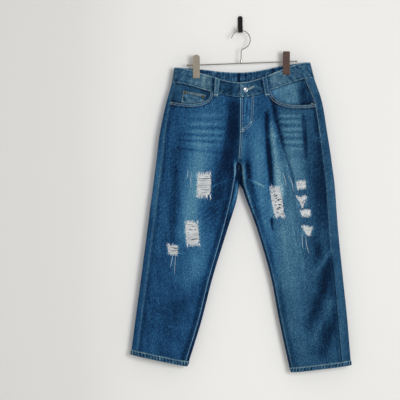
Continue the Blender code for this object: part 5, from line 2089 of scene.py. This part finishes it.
@dataclass
class Waistband(Needlework):
    """The band round the waist with its stitches and its piping."""

    columns: int = 120
    proud: float = 0.0007
    lap_under: float = 0.028
    lap_ramp: float = 0.026
    lap_ramp_end: float = 0.006
    layer_gap: float = 0.0004
    base: float = 0.42
    shades: tuple[tuple[float, float, float], ...] = (
        (0.24, -0.107, 0.032), (0.20, 0.107, 0.032), (-0.25, -0.036, 0.026), (-0.14, 0.050, 0.018),
    )

    def grid(self) -> Grid:
        """The points of the band, from the fly round the back and under the fly again.

        Returns:
            The grid.
        """
        downs = np.linspace(0.0, BAND_END, 22)
        turns = np.linspace(-1.0, 1.0, self.columns)
        left = FORM.points(Side.LEFT, downs[:, None], turns[None, :])
        right = FORM.points(Side.RIGHT, downs[:, None], turns[::-1][None, 1:])
        centre_x = float(FORM.section(Side.RIGHT, np.array(0.0))["inner_x"])
        reach = np.linspace(self.lap_under / 10, self.lap_under, 10)
        under_turns = -FORM.turn_at_x(Side.LEFT, downs[:, None], centre_x + reach[None, :])
        under = FORM.points(Side.LEFT, downs[:, None], under_turns)
        under[..., 1] += FORM.lap_step
        grid = Grid(np.concatenate([left, right, under], axis=1))
        x = grid.x
        ramp = smooth((x - centre_x + self.lap_ramp) / (self.lap_ramp - self.lap_ramp_end))
        last = np.arange(x.shape[1])[None, :] >= left.shape[1] + right.shape[1] - self.columns // 3
        sunk = BAND_WALL + self.layer_gap - FORM.lap_step
        return grid.moved(self.proud - sunk * ramp * last)

    def wear_and_shade(self, grid: Grid) -> Values:
        """The dye's wear: a pale top edge, puckers at the seam, greyer over the stomach, with painted shadows
        beside the loops.

        Args:
            grid: The band.

        Returns:
            The wear and painted shadows at each point.
        """
        x, y, z = (grid.points[..., i] for i in range(3))
        share = shares(len(x))
        length = grid.map()[..., 0]
        wear_and_shade = np.full(x.shape, self.base) + 0.08 * ripple(length, z, 0.030, 31)
        wear_and_shade += 0.10 * ripple(length, z, 0.012, 35)
        front = y < HANG_Y
        for amount, middle, width in self.shades:
            wear_and_shade += np.where(front, amount * bell(x - middle, width), 0.0)
        wear_and_shade += np.where(front & (x > -0.003), 0.22 * bell(x - 0.005, 0.006), 0.0)
        wear_and_shade += 0.34 * bell(share, 0.055) + 0.26 * bell(share - 1.0, 0.05)
        dashes = 0.5 + 0.5 * np.sin(length * math.tau / 0.0060)
        wear_and_shade -= 0.26 * dashes * bell(share - 0.90, 0.045)
        wear_and_shade -= 0.14 * dashes * bell(share - 0.12, 0.045)
        # Painted shadows on the band beside each loop, deeper on the loop's left
        for loop in LOOPS:
            off = x - loop.middle(share)
            shade = np.where(off < 0, 0.50, 0.26) * bell(np.abs(off) - 0.0100, 0.0038)
            wear_and_shade -= shade * (front == (loop.face == Face.FRONT))
        pucker = ripple(length, z * 0.15, 0.011, 33)
        wear_and_shade += 0.12 * pucker * (0.40 + bell(share - 0.85, 0.12))
        return wear_and_shade

    def build(self) -> Probe:
        """Makes the band with its stitches and its piping.

        Returns:
            A probe over the band.
        """
        grid = self.grid()
        length = grid.map()[..., 0]
        share = shares(len(length))
        pucker = ripple(length, length * 0, 0.012, 33) * bell(share - 0.9, 0.14)
        sheet_grid = grid.moved(0.00028 * pucker)
        sheet = Sheet("jeans_waistband", sheet_grid, self.wear_and_shade(grid), BAND_WALL)
        item = settle(sheet.build(self.finishes.band, self.finishes.band_inside), "denim_band", ["waistband"])
        probe = sheet_grid.probe()
        self.sew(probe)
        LOG.info("waistband: %d points", grid.x.size)
        return probe

    def sew(self, probe: Probe) -> None:
        """Runs stitches along the band's top and foot, front and back.

        Args:
            probe: A probe over the band.
        """
        for down, thread in ((0.0016, self.sewing.pale), (BAND_END - 0.0026, self.sewing.faded)):
            for side in Side:
                turns = np.linspace(-0.99, 1.0, 300)
                spots = seam_line(side, np.full(turns.shape, down), turns, self.proud + 0.0002)
                thread.stitch(spots)
        piping = Threads("band_piping", radius=0.00065)
        for side in Side:
            turns = np.linspace(0.04, 1.0, 120)
            spots = seam_line(side, np.full(turns.shape, 0.0004), turns, -BAND_WALL / 2)
            piping.add([spot.place for spot in spots])
        piping.build(self.finishes.piping, "denim_band")
        edge = [(0.0006, float(band_seam_z(Side.LEFT, np.array([0.0006]))[0]) + 0.004), (0.0002, -0.179)]
        self.sewing.pale.stitch(probe.line(edge, Face.FRONT))


@dataclass(frozen=True)
class LoopPlace:
    """Where a belt loop sits, how its foot leans, how far it goes below the band and its wear."""

    node: str
    side: Side
    face: Face
    x: float
    lean: float = 0.0
    below: float = 0.0070
    wear_and_shade: float = 0.42

    def middle(self, share: Values) -> Values:
        """X of its middle line at a share of its length."""
        return self.x + self.lean * (share - 0.5)


LOOPS = (
    LoopPlace("belt_loop_front_right", Side.RIGHT, Face.FRONT, -0.0720, -0.0047, 0.0125, 0.50),
    LoopPlace("belt_loop_front_left", Side.LEFT, Face.FRONT, 0.0758, 0.0090, 0.0165, 0.36),
    LoopPlace("belt_loop_back_right", Side.RIGHT, Face.BACK, -0.1050),
    LoopPlace("belt_loop_back_left", Side.LEFT, Face.BACK, 0.1090),
    LoopPlace("belt_loop_back_centre", Side.LEFT, Face.BACK, 0.0055),
)


@dataclass
class BeltLoops(Needlework):
    """Five loops that bridge the band."""

    width: float = 0.0162
    taper: float = 0.16
    wall: float = 0.0018
    lift: float = 0.0012
    gap: float = 0.0006

    def grid(self, loop: LoopPlace) -> Grid:
        """The points of one loop, thicker along its edges.

        Args:
            loop: The loop.

        Returns:
            The grid.
        """
        shares = np.linspace(0.0, 1.0, 30)
        beside = np.linspace(-self.width / 2, self.width / 2, 11)
        rows = []
        for share in shares:
            down = (BAND_END + loop.below) * share
            x = loop.middle(share) + beside * (1.0 + self.taper * (0.5 - share))
            side = loop.side
            if loop.face == Face.BACK and loop.x < float(FORM.section(Side.LEFT, np.array(down))["inner_x"]):
                side = Side.RIGHT
            at = np.full(x.shape, down)
            line = FORM.points(side, at, loop.face * FORM.turn_at_x(side, at, x))
            edge = (np.abs(beside) / (self.width / 2)) ** 6
            lift = self.gap + self.wall + self.lift * math.sin(math.pi * share) + 0.0007
            lift = lift - 0.0004 * edge + 0.0002 * bell(np.abs(beside) - 0.0052, 0.0012)
            line[:, 1] += loop.face * lift
            rows.append(line)
        return Grid(np.array(rows))

    def build(self) -> None:
        """Makes all the loops with their bars of stitches."""
        for loop in LOOPS:
            grid = self.grid(loop)
            across = np.linspace(-1.0, 1.0, 11)[None, :]
            down = shares(30)
            x, z = grid.x, grid.z
            wear_and_shade = loop.wear_and_shade + 0.20 * smooth((np.abs(across) - 0.30) / 0.3) + 0.24 * bell(down, 0.05)
            # Painted shade along the loop's turned-under edges
            wear_and_shade = wear_and_shade - 0.56 * smooth((np.abs(across) - 0.74) / 0.2)
            wear_and_shade = wear_and_shade + 0.12 * ripple(x, z, 0.010, 41)
            sheet = Sheet(f"jeans_{loop.node}", grid, wear_and_shade, self.wall)
            item = settle(sheet.build(self.finishes.band, self.finishes.inside), "denim_band", [loop.node])
            probe = grid.probe()
            foot = grid.points[-4].mean(axis=0)
            head = grid.points[1].mean(axis=0)
            bar = [(foot[0] - 0.0062, foot[2]), (foot[0] + 0.0062, foot[2])]
            self.sewing.pale.zigzag(probe.line(bar, loop.face, step=0.006), 0.0022)
            for offset in (-0.0048, 0.0048):
                line = [(head[0] + offset, head[2] - 0.003), (foot[0] + offset, foot[2] + 0.002)]
                self.sewing.faded.stitch(probe.line(line, loop.face, 0.0001))
        LOG.info("belt loops: %d", len(LOOPS))


@dataclass
class Hems(Needlework):
    """The turned and roped hems round both legs."""

    columns: int = 260
    proud: float = 0.0006
    rope_pitch: float = 0.0095

    def build(self) -> None:
        """Makes both hems."""
        for side in Side:
            downs = np.linspace(HEM_START, HEM_END, 12)
            turns = np.linspace(-1.0, 1.0, self.columns)
            grid = Grid(FORM.points(side, downs[:, None], turns[None, :]), closed=True)
            share = shares(12)
            length = np.abs(grid.map()[..., 0])
            total = float(length[0, 0] + length[0, -1])
            pitch = total / round(total / self.rope_pitch)
            along = grid.map()[..., 0]
            wave = np.sin(math.tau * along / pitch + share * 4.2 + 0.8 * np.sin(along * 70 + side))
            tick = np.tanh(2.2 * (wave - 0.25)) * (0.75 + 0.45 * ripple(along, along * 0, 0.022, 77))
            swell = np.sin(np.pi * np.clip(share, 0.03, 0.97)) ** 0.7
            grid = grid.moved(self.proud + 0.0008 * swell + 0.00055 * wave * swell)
            wear_and_shade = 0.38 + 0.36 * tick * swell + 0.10 * ripple(along, grid.z, 0.02, 51)
            wear_and_shade = wear_and_shade + 0.10 * bell(share - 1.0, 0.10) + 0.36 * bell(share, 0.12)
            name = f"hem_{LABEL[side]}"
            sheet = Sheet(f"jeans_{name}", grid, wear_and_shade, HEM_WALL)
            item = settle(sheet.build(self.finishes.band, self.finishes.inside), "hem", [name])
            turns = np.linspace(-1.0, 0.999, 400)
            spots = seam_line(side, np.full(turns.shape, HEM_START + 0.0025), turns, self.proud + 0.0009)
            self.sewing.pale.stitch(spots)
            LOG.info("hem %s: %.0f mm round", LABEL[side], total * 1000)


# --- seams and the fly


@dataclass
class Seams:
    """The stitches along the garment's seams and pocket mouths."""

    sewing: Sewing
    front: Probe
    back: Probe
    fresh_to: dict[Side, float] = field(default_factory=lambda: {Side.RIGHT: 0.0, Side.LEFT: 0.215})
    sewn_to: dict[Side, float] = field(default_factory=lambda: {Side.RIGHT: HEM_START, Side.LEFT: 0.560})

    def build(self) -> None:
        """Sews the side seams, inseams, mouths, yokes, seat and fly."""
        tan, pale, faded = self.sewing.tan, self.sewing.pale, self.sewing.faded
        for side in Side:
            downs = np.linspace(BAND_END + 0.002, HEM_START - 0.001, 600)
            row = FORM.section(side, downs)
            turns = -FORM.turn_at_inset(side, downs, row["side_inset"] + 0.0028)
            spots = seam_line(side, downs, turns, 0.0009)
            fresh = int(np.searchsorted(downs, self.fresh_to[side]))
            last = int(np.searchsorted(downs, self.sewn_to[side]))
            pale.stitch(spots[:fresh])
            faded.stitch(spots[fresh:last])
            downs = np.linspace(CROTCH + 0.004, HEM_START - 0.001, 460)
            inset = FORM.section(side, downs)["inseam_inset"] + 0.0026
            turns = -FORM.turn_at_inner(side, downs, inset)
            thread = pale if side == Side.RIGHT else faded
            thread.stitch(seam_line(side, downs, turns, 0.0008))
            mouth = HIP_POCKETS[side]
            for inset in (0.0024, 0.0082):
                line = mouth.outline(inset, closed=False)[:-1]
                tan.stitch(self.front.line(line, Face.FRONT))
            for inset in (0.0020, 0.0070):
                turns = np.linspace(0.06, 0.985, 300)
                pale.stitch(seam_line(side, yoke_seam(turns) + inset, turns, 0.0002))
        for offset in (-0.0025, 0.0035):
            line = [(-0.0024 + offset, -0.262), (-0.0050 + offset, -0.344), (-0.0085 + offset, -0.400)]
            pale.stitch(self.back.line(line, Face.BACK))
        self.add_fly()

    def add_fly(self) -> None:
        """The fly's edge, its curved double row, its bars and the seam to the crotch."""
        tan, pale = self.sewing.tan, self.sewing.pale
        for inset in (0.0, 0.0055):
            line = [(0.0395 - inset, -0.2140), (0.0385 - inset, -0.2450), (0.0365 - inset, -0.2720)]
            for i in range(12):
                angle = math.pi / 2 * i / 11
                x = 0.0015 + (0.0345 - inset) * math.cos(angle) ** 0.8
                line.append((x, -0.2760 - (0.0420 - inset) * math.sin(angle)))
            pale.stitch(self.front.line(line, Face.FRONT))
        for offset in (0.0008, 0.0058):
            line = [(-0.0010 + offset, -0.2230), (-0.0020 + offset, -0.3440), (-0.0056 + offset, -0.4050)]
            pale.stitch(self.front.line(line, Face.FRONT))
        bars = (
            (0.0060, -0.3160, 0.0040, 0.001),
            (0.0060, -0.3220, 0.0050, 0.001),
            (0.0300, -0.2960, 0.0025, 0.003),
        )
        for x, z, half, lean in bars:
            bar = [(x - half, z - lean), (x + half, z + lean)]
            pale.zigzag(self.front.line(bar, Face.FRONT, step=0.01), 0.0020)
        for x, z in ((-0.2065, -0.2360), (0.2140, -0.2390)):
            tan.zigzag(self.front.line([(x - 0.003, z), (x + 0.003, z)], Face.FRONT, step=0.02), 0.0018)


@dataclass
class FlyFastening:
    """The shank button and its slanting buttonhole."""

    finishes: Finishes
    probe: Probe
    button_x: float = 0.0148
    button_z: float = -0.1975
    hole_end_x: float = 0.0410
    hole_end_z: float = -0.1870

    def build(self) -> None:
        """Makes the button on the band and sews the hole."""
        found = self.probe.place(self.button_x, self.button_z, Face.FRONT, 0.0004)
        if found:
            Stud("fly_button", 0.0074, 0.0030, dish=0.35).build(*found, self.finishes.button, "button_metal")
        hole = Threads("buttonhole", radius=0.00042)
        start_x, start_z = self.button_x + 0.0060, self.button_z + 0.0010
        for offset in (-0.0017, 0.0017):
            line = [(start_x, start_z + offset), (self.hole_end_x, self.hole_end_z + offset)]
            spots = self.probe.line(line, Face.FRONT, 0.0003, step=0.03)
            hole.zigzag(spots, 0.0024, pitch=0.0008)
        hole.build(self.finishes.pale, "denim_band")
        slit = Threads("buttonhole_slit", radius=0.0006)
        line = [(start_x, start_z), (self.hole_end_x - 0.002, self.hole_end_z - 0.0008)]
        slit.add([spot.place for spot in self.probe.line(line, Face.FRONT, 0.0003, step=0.004)])
        slit.build(self.finishes.dark, "denim_band")
        LOG.info("fly fastening: button and buttonhole")


@dataclass
class LooseEnds:
    """Long loose threads that hang from rips, and scratches worn down to the weft."""

    finishes: Finishes
    probe: Probe
    lines: tuple[tuple[float, float, float, float, float], ...] = (
        (-0.2034, -0.6880, -0.2109, -0.7280, 0.0010),
        (-0.1944, -0.6880, -0.1980, -0.7480, -0.0008),
        (0.1835, -0.6300, 0.1860, -0.6700, -0.0006),
        (0.1950, -0.6370, 0.2052, -0.6880, -0.0030),
        (-0.1580, -0.4360, -0.1620, -0.4640, 0.0012),
        (-0.1480, -0.4460, -0.1490, -0.4890, -0.0010),
        (0.1257, -0.4476, 0.1356, -0.4866, 0.0022),
        (0.1425, -0.4560, 0.1566, -0.5007, 0.0042),
    )

    def build(self) -> None:
        """Lays each thread on the front."""
        threads = Threads("hanging_threads", radius=0.00065)
        for x0, z0, x1, z1, bow in self.lines:
            places = []
            for i in range(12):
                share = i / 11
                x = x0 + (x1 - x0) * share + bow * math.sin(math.pi * share)
                found = self.probe.place(x, z0 + (z1 - z0) * share, Face.FRONT, 0.0004)
                if found:
                    places.append(found[0])
            threads.add(places, [0.5 + 0.5 * math.sin(math.pi * i / 11) for i in range(len(places))])
        threads.build(self.finishes.strand, "rip_thread")


# --- hanger and wall hook


@dataclass
class Hanger:
    """The hanger's and the wall hook's own solids, dressed."""

    finishes: Finishes

    def dress(self) -> None:
        """Gives each carried-over solid its finish."""
        finishes = self.finishes
        wire = ("hanger_hook", "hook_ferrule", "hanger_rod", "clip_right_sleeve", "clip_left_sleeve")
        looks = (
            (finishes.wire, wire),
            (finishes.taupe, ("clip_right_front", "clip_right_back")),
            (finishes.brown, ("clip_left_front", "clip_left_back")),
            (finishes.brass, ("rod_cap_right",)),
            (finishes.grey, ("rod_cap_left",)),
            (finishes.black, ("wall_hook",)),
        )
        for material, nodes in looks:
            for node in nodes:
                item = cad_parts[node]
                item.data.materials.clear()
                item.data.materials.append(material)
            LOG.info("%s: %s", material.name, ", ".join(nodes))


# --- studio


@dataclass
class Studio:
    """The pale wall and floor with painted light across them, the soft lights and the camera."""

    wall: Colour = srgb(224, 224, 222)
    painted_backdrop_light: tuple[tuple[float, float], ...] = (
        (0.00, 0.965), (0.16, 1.045), (0.42, 1.070), (0.62, 1.055), (0.80, 1.015), (0.95, 1.000),
    )
    cloud_scale: float = 2.2
    cloud_depth: float = 0.06
    world_strength: float = 0.60
    key_power: float = 60.0
    key_place: tuple[float, float, float] = (1.35, -3.0, -0.25)
    key_size: float = 1.2
    back_power: float = 40.0
    view_width: float = 1.202
    view_centre: tuple[float, float] = (-0.122, -0.5275)
    camera_away: float = 3.6
    garment_y: float = -0.035

    def paint(self, name: str, see_through: bool) -> Paint:
        """A pale matt paint, painted brighter and darker across X to stand for the fall of light; the wall's
        is seen from the garment's side only.

        Args:
            name: Its name.
            see_through: Whether the camera sees through its back.

        Returns:
            The material.
        """
        material = Material(name)
        tree = material.tree
        place = maths(tree, "ADD", material.x(), 0.5, clamp=True)
        cloud = maths(tree, "SUBTRACT", material.noise(self.cloud_scale, 3.0), 0.5)
        cloud = maths(tree, "MULTIPLY", cloud, self.cloud_depth)
        # The backdrop's painted light: brighter and darker across X
        stops = [(at, tuple(value * tone for value in self.wall)) for at, tone in self.painted_backdrop_light]
        colour = material.ramp(maths(tree, "ADD", place, cloud, clamp=True), stops)
        material.feed(Base_Color=colour, Roughness=0.95, Specular_IOR_Level=0.1)
        if see_through:
            path = material.node("LightPath")
            seen = maths(tree, "MAXIMUM", path.outputs["Is Camera Ray"], path.outputs["Is Glossy Ray"])
            seen = maths(tree, "MAXIMUM", seen, path.outputs["Is Transmission Ray"])
            ahead = maths(tree, "SUBTRACT", 1.0, material.node("NewGeometry").outputs["Backfacing"])
            mix = material.node("MixShader", Fac=maths(tree, "MULTIPLY", seen, ahead))
            tree.links.new(material.node("BsdfTransparent").outputs[0], mix.inputs[1])
            tree.links.new(material.shader.outputs[0], mix.inputs[2])
            fill(tree, tree.nodes["Material Output"], {"Surface": mix.outputs[0]})
        return material.data

    def plane(self, name: str, size: float, matrix: Matrix, material: Paint) -> Item:
        """A square of the backdrop, which isn't part of the object.

        Args:
            name: Its name.
            size: Half its side.
            matrix: Its place.
            material: Its paint.

        Returns:
            The plane.
        """
        bm = bmesh.new()
        bmesh.ops.create_grid(bm, x_segments=1, y_segments=1, size=size, matrix=matrix)
        item = make_object(name, mesh_of(bm, name), material)
        item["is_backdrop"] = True
        return item

    def lamp(self, name: str, place: Sequence[float], power: float, size: float, colour: Colour) -> None:
        """A square soft light that faces the garment.

        Args:
            name: Its name.
            place: Where it stands.
            power: In watts.
            size: Its side.
            colour: Its light.
        """
        data = bpy.data.lights.new(name, "AREA")
        data.energy = power
        data.shape = "SQUARE"
        data.size = size
        data.color = colour
        item = bpy.data.objects.new(name, data)
        bpy.context.scene.collection.objects.link(item)
        item.location = place
        aim = Vector((0.0, self.garment_y, self.view_centre[1])) - Vector(place)
        item.rotation_euler = aim.to_track_quat("-Z", "Y").to_euler()

    def build(self) -> None:
        """Sets up the whole studio."""
        upright = Matrix.Translation((0.0, 0.0006, -0.5)) @ Matrix.Rotation(math.radians(90), 4, "X")
        self.plane("backdrop_wall", 6.0, upright, self.paint("wall_paint", True))
        level = Matrix.Translation((0.0, 0.0, -2.2))
        self.plane("studio_floor", 6.0, level, self.paint("floor_paint", False))
        self.lamp("key_light", self.key_place, self.key_power, self.key_size, (0.985, 0.99, 1.0))
        self.lamp("back_light", (-1.2, 2.6, 0.4), self.back_power, 1.6, (1.0, 1.0, 1.0))
        world = bpy.data.worlds.new("studio_world")
        world.use_nodes = True
        background = world.node_tree.nodes["Background"]
        background.inputs["Color"].default_value = (1.0, 0.975, 0.945, 1.0)
        background.inputs["Strength"].default_value = self.world_strength
        scene = bpy.context.scene
        scene.world = world
        scene.view_settings.view_transform = "Standard"
        camera = bpy.data.cameras.new("camera")
        camera.sensor_width = 36.0
        camera.lens = camera.sensor_width * self.camera_away / self.view_width
        camera.clip_end = 50.0
        item = bpy.data.objects.new("camera", camera)
        scene.collection.objects.link(item)
        x, z = self.view_centre
        item.location = (x, self.garment_y - self.camera_away, z)
        item.rotation_euler = (math.radians(90), 0.0, 0.0)
        scene.camera = item
        LOG.info("studio: wall, floor, two soft lights and camera")


def main() -> None:
    """Builds the studio, then each part of the garment, in order."""
    logging.basicConfig(level=logging.INFO, format="%(message)s")
    Studio().build()
    finishes = Finishes()
    sewing = Sewing()
    front = Fronts(finishes, sewing).build()
    back = Backs(finishes, sewing).build()
    band = Waistband(finishes, sewing).build()
    BeltLoops(finishes, sewing).build()
    Hems(finishes, sewing).build()
    Seams(sewing, front, back).build()
    FlyFastening(finishes, band).build()
    LooseEnds(finishes, front).build()
    sewing.build(finishes)
    Hanger(finishes).dress()
    [[list(corner) for corner in box] for box in (CAD_BOX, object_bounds())]


if __name__ == "__main__":
    main()
